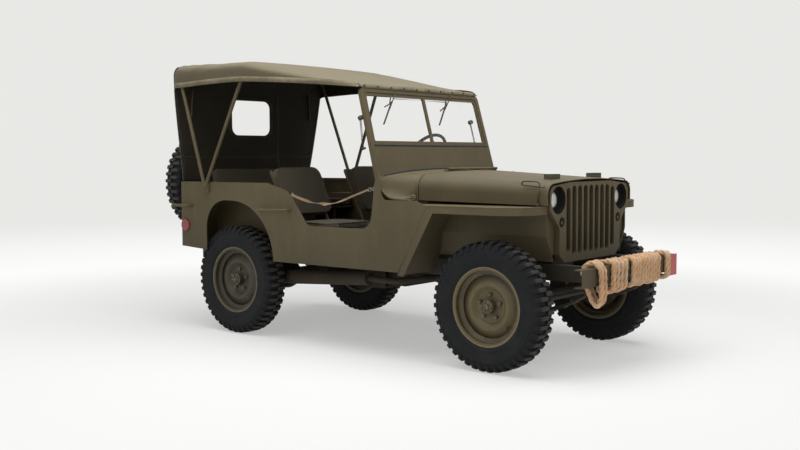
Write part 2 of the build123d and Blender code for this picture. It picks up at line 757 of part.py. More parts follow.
def hinge_barrels(on_cowl):
    """The hood hinge: barrels on the cowl with the pin, or the hood's barrels between them."""
    reach, count, leaf = 260, 5, 34
    step = 2 * reach / count
    pieces = []
    for i in range(count):
        if (i % 2 == 0) != on_cowl:
            continue
        y0, y1 = -reach + i * step + 0.5, -reach + (i + 1) * step - 0.5
        barrel = rod((HOOD_REAR_X, y0, HINGE_Z), (HOOD_REAR_X, y1, HINGE_Z), HINGE_BARREL_R)
        edges = sorted((HOOD_REAR_X, HOOD_REAR_X + (-leaf if on_cowl else leaf)))
        pieces.append(barrel + block(edges, (y0, y1), (HINGE_Z - 16, HINGE_Z - HINGE_BARREL_R + 3)))
    pin = rod((HOOD_REAR_X, -reach, HINGE_Z), (HOOD_REAR_X, reach, HINGE_Z), HINGE_PIN_R)
    if on_cowl:
        return fuse(*pieces, pin)
    hole = rod((HOOD_REAR_X, -reach, HINGE_Z), (HOOD_REAR_X, reach, HINGE_Z), HINGE_PIN_R + BORE)
    return fuse(*pieces) - hole


def body_side():
    """The right side panel with its step-in, wheel arch and the cut beside the cowl."""
    outline = [
        (REAR_PANEL_X, TUB_LOW_REAR_Z, 0),
        (REAR_PANEL_X, TUB_TOP_Z, 0),
        (-650, TUB_TOP_Z, 60),
        (-455, 965, 150),
        (-290, 754, 55),
        (222, 754, 85),
        (258, 1022, 0),
        (268, 1050, 0),
        (298, 1050, 0),
        (310, 960, 60),
        (335, LEDGE_Z + 12, 20),
        (560, LEDGE_Z + 12, 0),
        (637, FENDER_Z, 0),
        (430, SILL_LOW_Z, 0),
        (-581, SILL_LOW_Z, 0),
        (-1240, 553, 0),
    ]
    panel = side_plate(outline, -BODY_HALF, -BODY_HALF + SHEET)
    rear_cut = side_plate(
        [(-1252, 400, 0), (-1252, ARCH_TOP_Z, 190), (-980, ARCH_TOP_Z, 0), (-980, 400, 0)],
        -BODY_HALF - 1,
        -BODY_HALF + SHEET + 1,
    )
    x, z = HOUSE_ARC
    front_cut = rod((x, -BODY_HALF - 1, z), (x, -BODY_HALF + SHEET + 1, z), ARCH_R)
    front_cut &= block((x - 10, 0), (-2 * BODY_HALF, 0), (0, ARCH_TOP_Z))
    lower_cut = block((-1252, x + ARCH_R), (-BODY_HALF - 1, -BODY_HALF + SHEET + 1), (300, z))
    rim = block((REAR_PANEL_X, -640), (-BODY_HALF + SHEET, -BODY_HALF + 30), (TUB_TOP_Z - 22, TUB_TOP_Z))
    return fuse(panel, rim) - rear_cut - front_cut - lower_cut


def house(inset):
    """The space of the right rear wheel house, an inset inside its sheet."""
    y = (-BODY_HALF + SHEET - inset, -HOUSE_Y - inset)
    middle = HOUSE_ARC[0]
    low = 560
    rear = side_plate(
        [
            (HOUSE_REAR_X + inset, low - inset, 0),
            (HOUSE_REAR_X + inset, HOUSE_TOP_Z - inset, 150 - inset),
            (middle, HOUSE_TOP_Z - inset, 0),
            (middle, low - inset, 0),
        ],
        *y,
    )
    arc_z = HOUSE_ARC[1]
    arc = rod((middle, y[0], arc_z), (middle, y[1], arc_z), HOUSE_TOP_Z - arc_z - inset)
    return rear + (arc & block((middle - 1, 0), y, (low - inset, HOUSE_TOP_Z)))


def body_floor():
    """Floors, toe board and the wheel houses."""
    side = BODY_HALF - SHEET
    t = 4
    rear_x = TUB_REAR_X + SHEET
    toe_half = HOOD_REAR[1] - 100
    toe = [(326, FLOOR_Z - t), (330, FLOOR_Z), (439, 766), (443, 762), (335, FLOOR_Z - t)]
    plates = [
        block((-600, 330), (-side, side), (FLOOR_Z - t, FLOOR_Z)),
        block((rear_x, -556), (-HOUSE_Y - 1, HOUSE_Y + 1), (REAR_FLOOR_Z - t, REAR_FLOOR_Z)),
        block((-560, -556), (-HOUSE_Y, HOUSE_Y), (FLOOR_Z - t, REAR_FLOOR_Z)),
        side_plate(sharp(toe), -toe_half, toe_half),
    ]
    for _, s in SIDES:
        near, far, front, r = s * HOUSE_Y, s * side, HOUSE_REAR_X + 1, TUB_CORNER_R - SHEET
        strip = [(rear_x, near, 0), (rear_x, far, r), (front, far, 0), (front, near, 0)]
        plates.append(top_plate(strip, REAR_FLOOR_Z - t, REAR_FLOOR_Z))
    body = fuse(*plates)
    for _, s in SIDES:
        body = body + on_side(house(0), s)
    for _, s in SIDES:
        body = body - on_side(house(t), s)
        body -= on_side(block((-1700, -600), (-side, -HOUSE_Y - t), (500, 600)), s)
    return body - rear_panel() - rod(column_point(600), column_point(1000), COLUMN_R + COLUMN_GAP)


def rear_panel():
    """The rear panel with its rounded corners."""
    r = TUB_CORNER_R
    front = REAR_PANEL_X
    back, half, s = TUB_REAR_X, BODY_HALF, SHEET
    outer = [(back, -half, r), (back, half, r), (front, half, 0), (front, -half, 0)]
    back, half = back + s, half - s
    inner = [(back, -half, r - s), (back, half, r - s), (front + 1, half, 0), (front + 1, -half, 0)]
    z = (TUB_LOW_REAR_Z, TUB_TOP_Z)
    return top_plate(outer, *z) - top_plate(inner, *z)


def fender():
    """The right front mudguard: flat top, turned-down lip, sloping rear and inner skirt."""
    t = FENDER_SHEET
    rear_x, low_x, low_z = 637, 427, 494
    front_x = HOOD_REAR_X + 2
    inner_y = -EAR_HALF - LUG_FACE_GAP
    beside_tub = -BODY_HALF + SHEET + LUG_FACE_GAP
    lip_z = FENDER_Z - FENDER_LIP

    def plan(inset, inner):
        return [
            (rear_x, -BODY_HALF + inset, 0),
            (FENDER_FRONT_X - inset, -BODY_HALF + inset, FENDER_CORNER_R - inset),
            (FENDER_FRONT_X - inset, inner, 0),
            (rear_x, inner, 0),
        ]

    top = top_plate(plan(0, inner_y), FENDER_Z - t, FENDER_Z)
    top += block((front_x, rear_x + 1), (beside_tub, inner_y), (FENDER_Z - t, FENDER_Z))
    lip = top_plate(plan(0, inner_y), lip_z, FENDER_Z - t) - top_plate(plan(t, 0), lip_z, FENDER_Z - t)
    slope = side_plate(
        sharp([(rear_x, FENDER_Z), (rear_x + 6, FENDER_Z - t), (low_x + 6, low_z), (low_x, low_z)]),
        beside_tub,
        -RAIL_OUTER - 20,
    )
    edge = side_plate(
        sharp([(rear_x, FENDER_Z), (rear_x + 46, lip_z), (low_x + 46, low_z), (low_x, low_z)]),
        -BODY_HALF,
        -BODY_HALF + t,
    )
    skirt = front_plate(
        sharp(
            [
                (inner_y - t, FENDER_Z - 1),
                (inner_y - t, 742),
                (-RAIL_OUTER - 28, 620),
                (-RAIL_OUTER - 28, 600),
                (-RAIL_OUTER - 23.5, 600),
                (-RAIL_OUTER - 23.5, 620),
                (inner_y, 742),
                (inner_y, FENDER_Z - 1),
            ]
        ),
        low_x + 30,
        FENDER_FRONT_X,
    )
    behind = [(low_x - 20, low_z), (rear_x + 2, FENDER_Z - 2), (rear_x - 300, FENDER_Z - 2)]
    skirt -= side_plate(sharp(behind), -BODY_HALF, 0)
    return fuse(top, lip, slope, edge, skirt)


def slot(y, low, high, wider):
    """The outline of one upright slot with round ends."""
    w, z0, z1 = SLOT_WIDE / 2 + wider, low - wider, high + wider
    return [(y - w, z0, w - 1), (y - w, z1, w - 1), (y + w, z1, w - 1), (y + w, z0, w - 1)]


def grille():
    """The pressed guard: slots, lamp holes and a turned-back rim, inside the closed hood."""
    half_low = 355
    right = [
        (-300, GRILLE_LOW_Z, 12),
        (-half_low, 634, 12),
        (-half_low, 785, 40),
        (-EAR_HALF, 885, 30),
        (-EAR_HALF, GRILLE_TOP_Z - 21, 52),
        (-230, GRILLE_TOP_Z, 400),
    ]
    outline = right + [(-y, z, r) for y, z, r in reversed(right)]
    x0, deep, rim = GRILLE_X - GRILLE_SHEET, 38, 5
    inner = []
    for y, z, r in outline:
        inward = rim if z < 700 else -rim if z > 1000 else 0
        inner.append((y * (1 - rim / abs(y)), z + inward, r))
    face = flat(outline)
    rims = []
    for i in range(SLOT_COUNT):
        y = (i - (SLOT_COUNT - 1) / 2) * SLOT_PITCH
        low, high = (647, 1003) if i in (0, SLOT_COUNT - 1) else (631, 1015)
        hole = flat(slot(y, low, high, 0))
        face -= hole
        rim_face = Pos(x0 - SLOT_DEEP, 0, 0) * (FRONT_VIEW * (flat(slot(y, low, high, 3)) - hole))
        rims.append(extrude(rim_face, SLOT_DEEP + 1, dir=(1, 0, 0)))
    for s in (-1, 1):
        face -= Pos(s * LAMP_Y, LAMP_Z) * Circle(LAMP_HOLE_R)
        face -= Pos(s * MARKER_Y, MARKER_Z) * Circle(MARKER_HOLE_R)
    body = extrude(Pos(x0, 0, 0) * (FRONT_VIEW * face), GRILLE_SHEET, dir=(1, 0, 0))
    edge = Pos(x0 - deep, 0, 0) * (FRONT_VIEW * (flat(outline) - flat(inner)))
    return fuse(body, extrude(edge, deep + 1, dir=(1, 0, 0)), *rims)


def front_lamps():
    """Head lamps and the small lamps below them, behind their holes in the grille."""
    lamps = []
    lens_x, behind = GRILLE_X - LENS_BACK, GRILLE_X - GRILLE_SHEET - LUG_FACE_GAP
    rim, rim_deep, flange_deep, marker_deep = 6, 24, 8, 50
    bowl_x = lens_x - rim_deep
    for _, s in SIDES:
        y, z = s * LAMP_Y, LAMP_Z
        shell = rod((lens_x, y, z), (bowl_x, y, z), LAMP_HOLE_R + rim)
        space = block((lens_x - LAMP_DEEP, bowl_x + 1), (y - 300, y + 300), (z - 300, z + 300))
        lamps.append(shell + (Pos(bowl_x, y, z) * Sphere(LAMP_HOLE_R) & space))
        y, z = s * MARKER_Y, MARKER_Z
        flange = rod((behind, y, z), (behind - flange_deep, y, z), MARKER_HOLE_R + rim)
        lamps.append(flange + rod((behind, y, z), (behind - marker_deep, y, z), MARKER_HOLE_R - 2))
    return lamps


def hood():
    """The hood shell with its hinge barrels; its front edge overhangs the grille's rim."""
    space = inside_of(HOOD_REAR, HOOD_FRONT, HOOD_SHEET)
    return hood_like(HOOD_REAR, HOOD_FRONT) - space + (hinge_barrels(False) - space)


def hood_blocks():
    """The two wooden rests for the folded windscreen."""
    long, wide, high = BLOCK
    x, out = BLOCK_PLACE
    pieces = []
    for _, s in SIDES:
        across = (s * out - wide / 2, s * out + wide / 2)
        box = block((x - long / 2, x + long / 2), across, (HOOD_FRONT[4] - 22, HOOD_FRONT[4] + high))
        pieces.append(box - hood_like(HOOD_REAR, HOOD_FRONT))
    return pieces


# ---- windscreen -----------------------------------------------------------------------------------
def screen_plane(depth=0):
    """The windscreen's own plane: local x is -Y of the car and local y goes up the slope."""
    x, z = SCREEN_BASE
    a = radians(RAKE)
    normal = Vector(cos(a), 0, sin(a))
    origin = Vector(x, 0, z) + normal * depth
    return Plane(origin=origin, x_dir=(0, 1, 0), z_dir=normal)


def screen_plate(corners, d0, d1):
    """A plate in the windscreen's plane, corners (y, up the slope, radius), from depth d0 to d1."""
    return extrude(screen_plane(d0) * flat(corners), d1 - d0)


def half_at(up):
    return SCREEN_HALF_LOW + (SCREEN_HALF_TOP - SCREEN_HALF_LOW) * up / SCREEN_HIGH


def screen_opening(inset, low, high):
    """Corners of an opening in the frame, an inset from its sides."""
    return [
        (-half_at(low) + inset, low, 12),
        (-half_at(high) + inset, high, 26),
        (half_at(high) - inset, high, 26),
        (half_at(low) - inset, low, 12),
    ]


def windshield_frame():
    """The outer frame with its closed lower panel, shaped to the cowl below."""
    d = SCREEN_DEEP / 2
    low = -60
    outline = [
        (-half_at(low), low, 0),
        (-half_at(SCREEN_HIGH), SCREEN_HIGH, 40),
        (half_at(SCREEN_HIGH), SCREEN_HIGH, 40),
        (half_at(low), low, 0),
    ]
    frame = screen_plate(outline, -d, d)
    corners = screen_opening(SCREEN_FRAME, SCREEN_PANEL, SCREEN_HIGH - SCREEN_FRAME)
    opening = screen_plate(corners, -d - 1, d + 1)
    below = block((-100, 600), (-BODY_HALF, BODY_HALF), (700, 1020))
    return frame - opening - cowl_solid() - below - cowl()


def glass_frame():
    """The inner frame that holds the two panes."""
    d = GLASS_FRAME_DEEP / 2
    gap = LUG_FACE_GAP
    outer = screen_opening(SCREEN_FRAME + gap, SCREEN_PANEL + gap, SCREEN_HIGH - SCREEN_FRAME - gap)
    body = screen_plate(outer, -d, d)
    for pane in pane_outlines(0):
        body -= screen_plate(pane, -d - 1, d + 1)
    return body


def pane_outlines(gap):
    """The outlines of the two panes, a gap inside their frame."""
    inset = SCREEN_FRAME + GLASS_FRAME + gap
    low, high = SCREEN_PANEL + GLASS_FRAME + gap, SCREEN_HIGH - inset
    middle, r = PILLAR / 2 + gap, 8
    right = [(-half_at(low) + inset, low, r), (-half_at(high) + inset, high, 20)]
    right += [(-middle, high, r), (-middle, low, r)]
    return [right, [(-y, up, r) for y, up, r in reversed(right)]]


def glass_panes():
    half = GLASS_T / 2
    return [screen_plate(pane, -half, half) for pane in pane_outlines(LUG_FACE_GAP)]


# ---- soft top ------------------------------------------------------------------------------------
# columns: x, half width and height of the hem, of the side's top and of the roof's corner, crown z
TOP_SECTIONS = (
    (TOP_FRONT_X, 622, 1600, 620, 1601, 560, 1612, 1622),
    (TOP_BOW_X, 737, 1672, 727, 1756, 617, 1808, 1814),
    (TOP_REAR_X, 737, 1656, 739, 1745, 654, 1819, 1824),
)


def top_section(row, inset, dx=0, drop=0):
    """A closed section of the top: hem, side, rounded corner and a nearly flat roof."""
    x, half, hem, side_half, side, corner_half, corner, crown = row
    a, s, b = half - inset, side_half - inset, corner_half - TURN_SHARE * inset
    side, corner = side - TURN_SHARE * inset, corner - inset
    middle = (b + (s - b) * CORNER_BULGE, side + (corner - side) * CORNER_BULGE)
    edges = [
        Line((-a, hem), (-s, side)),
        ThreePointArc((-s, side), (-middle[0], middle[1]), (-b, corner)),
        ThreePointArc((-b, corner), (0, crown - inset), (b, corner)),
        ThreePointArc((b, corner), middle, (s, side)),
        Line((s, side), (a, hem)),
    ]
    if drop:
        edges += [Polyline((a, hem), (a, hem - drop), (-a, hem - drop), (-a, hem))]
    else:
        edges += [Line((a, hem), (-a, hem))]
    return Pos(x + dx, 0, 0) * (FRONT_VIEW * make_face(edges))


def canvas_top():
    """The roof cloth with its turned-down sides, open at the front and rear ends."""
    shells = []
    below = 30
    for a, b in zip(TOP_SECTIONS, TOP_SECTIONS[1:]):
        outer = loft([top_section(a, 0), top_section(b, 0)], ruled=True)
        inside = [top_section(a, TOP_SHEET, 0.01, below), top_section(b, TOP_SHEET, -0.01, below)]
        shells.append(outer - loft(inside, ruled=True))
    return fuse(*shells)


def rear_curtain():
    """The cloth that closes the rear, narrower at its foot, with its window."""
    row = TOP_SECTIONS[-1]
    hem_half, hem_z = row[1] - TOP_SHEET - CLOTH_GAP, row[2]
    face = top_section(row, TOP_SHEET + CLOTH_GAP, 0, hem_z - CURTAIN_LOW_Z)
    x = TOP_REAR_X
    foot_right, foot_left = CURTAIN_FOOT
    above = hem_z + 200
    cut = [(-hem_half, above), (-hem_half, hem_z), (foot_right, CURTAIN_LOW_Z)]
    cut += [(foot_left, CURTAIN_LOW_Z), (hem_half, hem_z), (hem_half, above)]
    sheet = extrude(face, TOP_SHEET, dir=(1, 0, 0)) & front_plate(sharp(cut), x - 50, x + 50)
    w, h = CURTAIN_WINDOW[0] / 2, CURTAIN_WINDOW[1] / 2
    y, z, r = CURTAIN_WINDOW_Y, CURTAIN_WINDOW_Z, CURTAIN_WINDOW_R
    window = [(y - w, z - h, r), (y - w, z + h, r), (y + w, z + h, r), (y + w, z - h, r)]
    return sheet - front_plate(window, x - 50, x + 50)


def bow(top_x, row):
    """One hoop from its right foot over to its left foot, just under the cloth of that row."""
    corner_half, corner, crown = row[-3:]
    under = TOP_SHEET + BOW_R + CLOTH_GAP
    foot_x, foot_z = BOW_FOOT
    knee = corner_half + BOW_KNEE
    knee_z = corner - under - (crown - corner) * BOW_KNEE / corner_half
    right = [(foot_x, -BODY_HALF - BOW_R - BOW_CLEAR, foot_z), (top_x, -knee, knee_z)]
    left = [(x, -y, z) for x, y, z in reversed(right)]
    return bar(right + [(top_x, 0, crown - under)] + left, BOW_R, BOW_BEND)


def top_bows():
    """The two hoops; each foot pair shares the pivot brackets on the tub's sides."""
    front = bow(TOP_BOW_X, TOP_SECTIONS[1])
    rear = bow(TOP_REAR_X + 30, TOP_SECTIONS[2])
    foot_x, foot_z = BOW_FOOT
    reach, thick = 30, 16
    along, up = (foot_x - reach, foot_x + reach), (foot_z - reach, foot_z + reach)
    right, left = both(block(along, (-BODY_HALF - thick, -BODY_HALF), up))
    return fuse(right, front, rear, left)


# ---- inside --------------------------------------------------------------------------------------
def behind_back(z):
    """Where the rear face of a back pad stands at a height, just clear of the uprights."""
    lean_x, lean_z = SEAT_REAR_X - SEAT_TOP_X, SEAT_TUBE_TOP_Z - SEAT_RISE
    clear = (SEAT_TUBE_R + CLOTH_GAP) * (lean_x**2 + lean_z**2) ** 0.5 / lean_z
    return SEAT_REAR_X - lean_x * (z - SEAT_RISE) / lean_z + clear


def seat_frame(y):
    """Bent tubes that carry a front seat."""
    half = SEAT_HALF_W - 15
    leg_x, leg_half, brace_x = SEAT_REAR_X + 6, 120, SEAT_FRONT_X - 40
    pieces = []
    for s in (-1, 1):
        side_y = y + s * half
        route = [(SEAT_FRONT_X, side_y, FLOOR_Z), (SEAT_FRONT_X, side_y, SEAT_RISE)]
        route += [(SEAT_REAR_X, side_y, SEAT_RISE), (SEAT_TOP_X, side_y, SEAT_TUBE_TOP_Z)]
        pieces.append(bar(route, SEAT_TUBE_R))
        leg_y = y + s * leg_half
        pieces.append(rod((leg_x, leg_y, REAR_FLOOR_Z), (leg_x, leg_y, SEAT_RISE), SEAT_TUBE_R))
    for x, z in ((leg_x, SEAT_RISE), (brace_x, SEAT_RISE), (SEAT_TOP_X, SEAT_TUBE_TOP_Z)):
        pieces.append(rod((x, y - half, z), (x, y + half, z), SEAT_TUBE_R))
    return fuse(*pieces)


def seat_cushions(y):
    """The seat pad on the frame and the raked back pad in front of its uprights."""
    low = SEAT_RISE + SEAT_TUBE_R + CLOTH_GAP
    along, across = (SEAT_REAR_X + 26, SEAT_FRONT_X + 8), (y - SEAT_HALF_W, y + SEAT_HALF_W)
    pad = block(along, across, (low, low + 70))
    low_z, high_z, (foot_x, top_x) = 785, SEAT_TOP_Z - 20, SEAT_BACK_FRONT
    shape = [(behind_back(low_z), low_z, 12), (foot_x, low_z + 12, 20)]
    shape += [(top_x, SEAT_TOP_Z, 60), (behind_back(high_z), high_z, 22)]
    return [pad, side_plate(shape, *across)]


def rear_seat():
    """The rear bench: pan, pad and back between the wheel houses."""
    half = HOUSE_Y - 12
    rear_x, front_x = BENCH_X
    pan_z, pad_z, pad_top_z = BENCH_Z
    back_x, back_thick, back_lean, back_z = rear_x - 60, 55, 55, (pad_top_z + 5, 1100)
    back = [(back_x, back_z[0]), (back_x + back_thick, back_z[0])]
    back += [(back_x - back_lean + back_thick, back_z[1]), (back_x - back_lean, back_z[1])]
    arm_y, arm_half, arm_z = 440, 10, back_z[0] + 20
    arm = [(rear_x, pan_z), (rear_x, pad_z), (rear_x - 30, arm_z), (rear_x - 45, arm_z)]
    leg_y, leg_half, leg_deep = 300, 15, 8
    pieces = [
        block(BENCH_X, (-half, half), (pan_z, pad_z)),
        block(BENCH_X, (-half, half), (pad_z, pad_top_z)),
        side_plate([(x, z, 20) for x, z in back], -half, half),
    ]
    for s in (-1, 1):
        pieces.append(side_plate(sharp(arm), s * arm_y - arm_half, s * arm_y + arm_half))
        across = (s * leg_y - leg_half, s * leg_y + leg_half)
        for x in (rear_x + 20, front_x - 20):
            pieces.append(block((x - leg_deep, x + leg_deep), across, (REAR_FLOOR_Z, pan_z)))
    return fuse(*pieces)


# ---- what is fixed outside --------------------------------------------------------------------------
def body_handles():
    """Grab bars: one on each side and one round each rear corner."""
    r = HANDLE_R
    out = -OVERALL_HALF + r
    (rear_x, rear_z), (front_x, front_z) = SIDE_HANDLE
    side = [(rear_x, -BODY_HALF, rear_z), (rear_x, out, rear_z)]
    side += [(front_x, out, front_z), (front_x, -BODY_HALF, front_z)]
    corner_x, corner_y, z = CORNER_HANDLE
    behind, out = TUB_REAR_X - 42, out + 8
    corner = [(corner_x, -BODY_HALF, z), (corner_x, out, z), (behind, out, z)]
    corner += [(behind, corner_y, z), (TUB_REAR_X, corner_y, z)]
    return both(bar(side, r)) + both(bar(corner, r))


def rear_lamps():
    """Reflectors on the sides and rear, and the tail lamps on the rear panel."""
    y, reflector_r, reflector_deep, lamp_r, lamp_deep = -640, 40, 10, 38, 34
    x, side_z, rear_z, tail_z = TUB_REAR_X, 714, 640, 760
    side_x = x + 71
    side = rod((side_x, -BODY_HALF, side_z), (side_x, -BODY_HALF - reflector_deep, side_z), reflector_r)
    rear = rod((x, y, rear_z), (x - reflector_deep, y, rear_z), reflector_r)
    tail = rod((x, y, tail_z), (x - lamp_deep, y, tail_z), lamp_r)
    return both(side) + both(rear) + both(tail)


def spare_carrier():
    """The bracket on the rear panel that carries the spare wheel at its disc."""
    x, y, z = SPARE_X - 8, SPARE_Y, SPARE_Z
    plate_x, half, low_z = TUB_REAR_X - 5, 110, z - 133
    pieces = [block((plate_x, TUB_REAR_X), (y - half, y + half), (low_z - 20, z - 3))]
    for s in (-1, 1):
        pieces.append(rod((plate_x + 2, y + s * 90, low_z), (x + 10, y + s * 50, z), 12))
    pieces.append(rod((x, y, z), (x + 18, y, z), 70))
    pieces.append(rod((x - 40, y, z), (x, y, z), 24))
    inside = block((TUB_REAR_X, TUB_REAR_X + 100), (y - 200, y + 200), (z - 300, z + 100))
    return fuse(*pieces) - inside


def spare_pieces():
    """The spare's rim with its disc, and its tyre, turned so that the outer side faces rearwards."""
    place = Pos(SPARE_X, SPARE_Y, SPARE_Z) * Rot(0, 0, -90)
    disc = place * rim_disc()
    return disc - spare_carrier(), place * tyre()


def door_straps():
    """The webbing across each step-in, as it hangs, against the inner face of the tub's side."""
    wide, thick = 34, 6
    points = [(-440, 946), (-344, 912), (-250, 895), (-169, 890)]
    points += [(-90, 896), (1, 922), (110, 962), (225, 992)]
    upper = [(x, z + wide / 2) for x, z in points]
    lower = [(x, z - wide / 2) for x, z in reversed(points)]
    y = -BODY_HALF + SHEET + CLOTH_GAP / 2
    return both(side_plate(sharp(upper + lower), y, y + thick))


def sign_plate():
    """The blank red plate on the left end of the bumper."""
    out_y, z = BUMPER_HALF + 3, (BUMPER_Z0 - 27, BUMPER_Z1 + 2)
    return block((BUMPER_FACE_X, BUMPER_FACE_X + PLATE_T), (ROPE_END[1] + ROPE_GAP, out_y), z)


# ---- the rope on the bumper -------------------------------------------------------------------------
def rope_sleeve(y0, y1):
    """The outer shape of a run of turns round the bumper, a rope's thickness deep."""
    g, thick = ROPE_GAP, 2 * ROPE_R
    x0, x1 = BUMPER_FACE_X - BUMPER_DEEP - g, BUMPER_FACE_X + g
    z0, z1 = BUMPER_Z0 - g, BUMPER_Z1 + g
    outer = block((x0 - thick, x1 + thick), (y0, y1), (z0 - thick, z1 + thick))
    outer = fillet(outer.edges().filter_by(Axis.Y), thick * 0.9)
    return outer - block((x0, x1), (y0, y1), (z0, z1))


def rope_loop():
    """The slack turn that leaves the turns along the bumper's top and hangs below it, outside the rail."""
    off = ROPE_GAP + ROPE_R + ROPE_SLACK
    front, behind, over = BUMPER_FACE_X + off, BUMPER_FACE_X - BUMPER_DEEP - off, BUMPER_Z1 + off
    middle, y = (front + behind) / 2, -ROPE_END[0] - ROPE_R
    low, end = BUMPER_Z0 - 106, BUMPER_Z1 - 18
    route = [(middle, ROPE_TURNS[0] - ROPE_GAP, over), (middle, y, over), (front, y, over)]
    route += [(front, y, low), (behind, y, low), (behind, y, end)]
    return bar(route, ROPE_R, 60)


def main():
    os.makedirs("parts", exist_ok=True)
    save("frame_rails", *both(rail()))
    save("cross_members", *cross_members())
    save("front_bumper", front_bumper())
    save("rear_bumperettes", *rear_bumperettes())
    save("pintle_hook", pintle_hook())
    save("front_axle", front_axle())
    save("rear_axle", rear_axle())
    save("leaf_springs", *leaf_springs())
    save("steering_column", steering_column())
    save("steering_wheel", steering_wheel())
    save("tie_rod", tie_rod())
    save("engine_block", engine_block())
    save("gearbox", gearbox())
    save("propeller_shafts", *propeller_shafts())
    save("exhaust", exhaust())
    save("radiator", radiator())
    save("fuel_tank", fuel_tank())
    save("cowl", cowl())
    save("body_floor", body_floor())
    save("rear_panel", rear_panel())
    save("grille", grille())
    save("front_lamps", *front_lamps())
    save("hood", hood())
    save("hood_blocks", *hood_blocks())
    save("windshield_frame", windshield_frame())
    save("glass_frame", glass_frame())
    save("glass_panes", *glass_panes())
    save("canvas_top", canvas_top())
    save("rear_curtain", rear_curtain())
    save("top_bows", top_bows())
    save("rear_seat", rear_seat())
    save("body_handles", *body_handles())
    save("rear_lamps", *rear_lamps())
    save("spare_carrier", spare_carrier())
    spare_disc, spare_tyre = spare_pieces()
    save("spare_wheel", spare_disc)
    save("spare_tyre", spare_tyre)
    save("door_straps", *door_straps())
    save("sign_plate", sign_plate())
    save("rope_turns", rope_sleeve(*ROPE_TURNS))
    save("rope_end_turns", rope_sleeve(*ROPE_END))
    save("rope_loop", rope_loop())
    for name, side in SIDES:
        save(f"body_side_{name}", on_side(body_side(), side))
        save(f"fender_{name}", on_side(fender(), side))
        save(f"knuckle_{name}", on_side(knuckle(), side))
        save(f"wheel_front_{name}", wheel_place(AXLE_X, side) * on_side(wheel(), side))
        save(f"wheel_rear_{name}", wheel_place(-AXLE_X, side) * on_side(wheel(), side))
        save(f"tyre_front_{name}", wheel_place(AXLE_X, side) * tyre())
        save(f"tyre_rear_{name}", wheel_place(-AXLE_X, side) * tyre())
    save("front_seats", *[seat_frame(y) for y in (-SEAT_Y, SEAT_Y)])
    save("front_cushions", *[pad for y in (-SEAT_Y, SEAT_Y) for pad in seat_cushions(y)])


main()
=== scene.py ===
from math import asin, atan2, cos, pi, radians, sin, sqrt

import bmesh
import bpy
from mathutils import Matrix, Vector, noise


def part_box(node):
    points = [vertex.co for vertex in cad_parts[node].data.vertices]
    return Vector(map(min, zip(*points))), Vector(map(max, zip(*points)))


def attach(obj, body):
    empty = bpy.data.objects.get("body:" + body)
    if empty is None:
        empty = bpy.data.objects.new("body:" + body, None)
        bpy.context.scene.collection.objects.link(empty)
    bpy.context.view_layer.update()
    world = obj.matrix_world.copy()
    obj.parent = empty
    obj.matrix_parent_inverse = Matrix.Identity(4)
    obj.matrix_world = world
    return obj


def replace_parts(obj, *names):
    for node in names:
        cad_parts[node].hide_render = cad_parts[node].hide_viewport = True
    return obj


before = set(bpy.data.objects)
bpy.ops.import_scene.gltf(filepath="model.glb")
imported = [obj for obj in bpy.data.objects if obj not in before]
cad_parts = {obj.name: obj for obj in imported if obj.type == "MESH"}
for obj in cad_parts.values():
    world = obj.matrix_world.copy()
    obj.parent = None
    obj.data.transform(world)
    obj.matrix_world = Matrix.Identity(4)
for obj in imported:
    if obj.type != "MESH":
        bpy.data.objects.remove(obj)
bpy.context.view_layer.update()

# ---- camera -------------------------------------------------------------------------------------------
# A still camera at chest height off the car's right front corner, with a slightly long lens.
# Places are in millimetres from the middle of the wheelbase, on the ground; at() turns them into metres.
front_tyre, rear_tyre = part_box("tyre_front_right"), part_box("tyre_rear_right")
axle_x = (front_tyre[0].x + front_tyre[1].x) / 2
mid_x = (axle_x + (rear_tyre[0].x + rear_tyre[1].x) / 2) / 2


def at(x, y, z):
    return Vector((mid_x + x / 1000, y / 1000, z / 1000))


CAMERA_AT, LENS, SENSOR = (4063.9, -5139.3, 1175), 44.937, 36
TURN, PITCH, ROLL = 39.30, 3.87, -0.21
turn, pitch, roll = radians(TURN), radians(PITCH), radians(ROLL)
ahead = Vector((-sin(turn) * cos(pitch), cos(turn) * cos(pitch), -sin(pitch)))
level = Vector((cos(turn), sin(turn), 0))
upright = level.cross(ahead)
camera = bpy.data.objects.new("camera", bpy.data.cameras.new("camera"))
bpy.context.scene.collection.objects.link(camera)
camera.data.sensor_width, camera.data.lens = SENSOR, LENS
right = level * cos(roll) + upright * sin(roll)
over = upright * cos(roll) - level * sin(roll)
looking = Matrix((right, over, -ahead)).transposed().to_4x4()
camera.matrix_world = Matrix.Translation(at(*CAMERA_AT)) @ looking
bpy.context.scene.camera = camera
bpy.context.scene.view_settings.view_transform = "Standard"


# ---- looks ------------------------------------------------------------------------------------------
# Every finish is a node material written as sums on shader values. A Value is one socket, and the
# operators add Math nodes; a Look is one material with its shader.
class Value:
    def __init__(self, look, socket):
        self.look, self.socket = look, socket

    def math(self, operation, *others):
        inputs = dict(enumerate([self, *others]))
        return self.look.node("ShaderNodeMath", {"operation": operation}, inputs)

    def __add__(self, other):
        return self.math("ADD", other)

    def __radd__(self, other):
        return self.math("ADD", other)

    def __mul__(self, other):
        return self.math("MULTIPLY", other)

    def __rmul__(self, other):
        return self.math("MULTIPLY", other)

    def __sub__(self, other):
        return self.math("SUBTRACT", other)

    def __rsub__(self, other):
        return (self * -1).math("ADD", other)

    def __pow__(self, other):
        return self.math("POWER", other)

    def between(self, low, high):
        """0 below low, 1 above high and a smooth step from one to the other."""
        settings = {"interpolation_type": "SMOOTHSTEP"}
        return self.look.node("ShaderNodeMapRange", settings, {0: self, 1: low, 2: high})


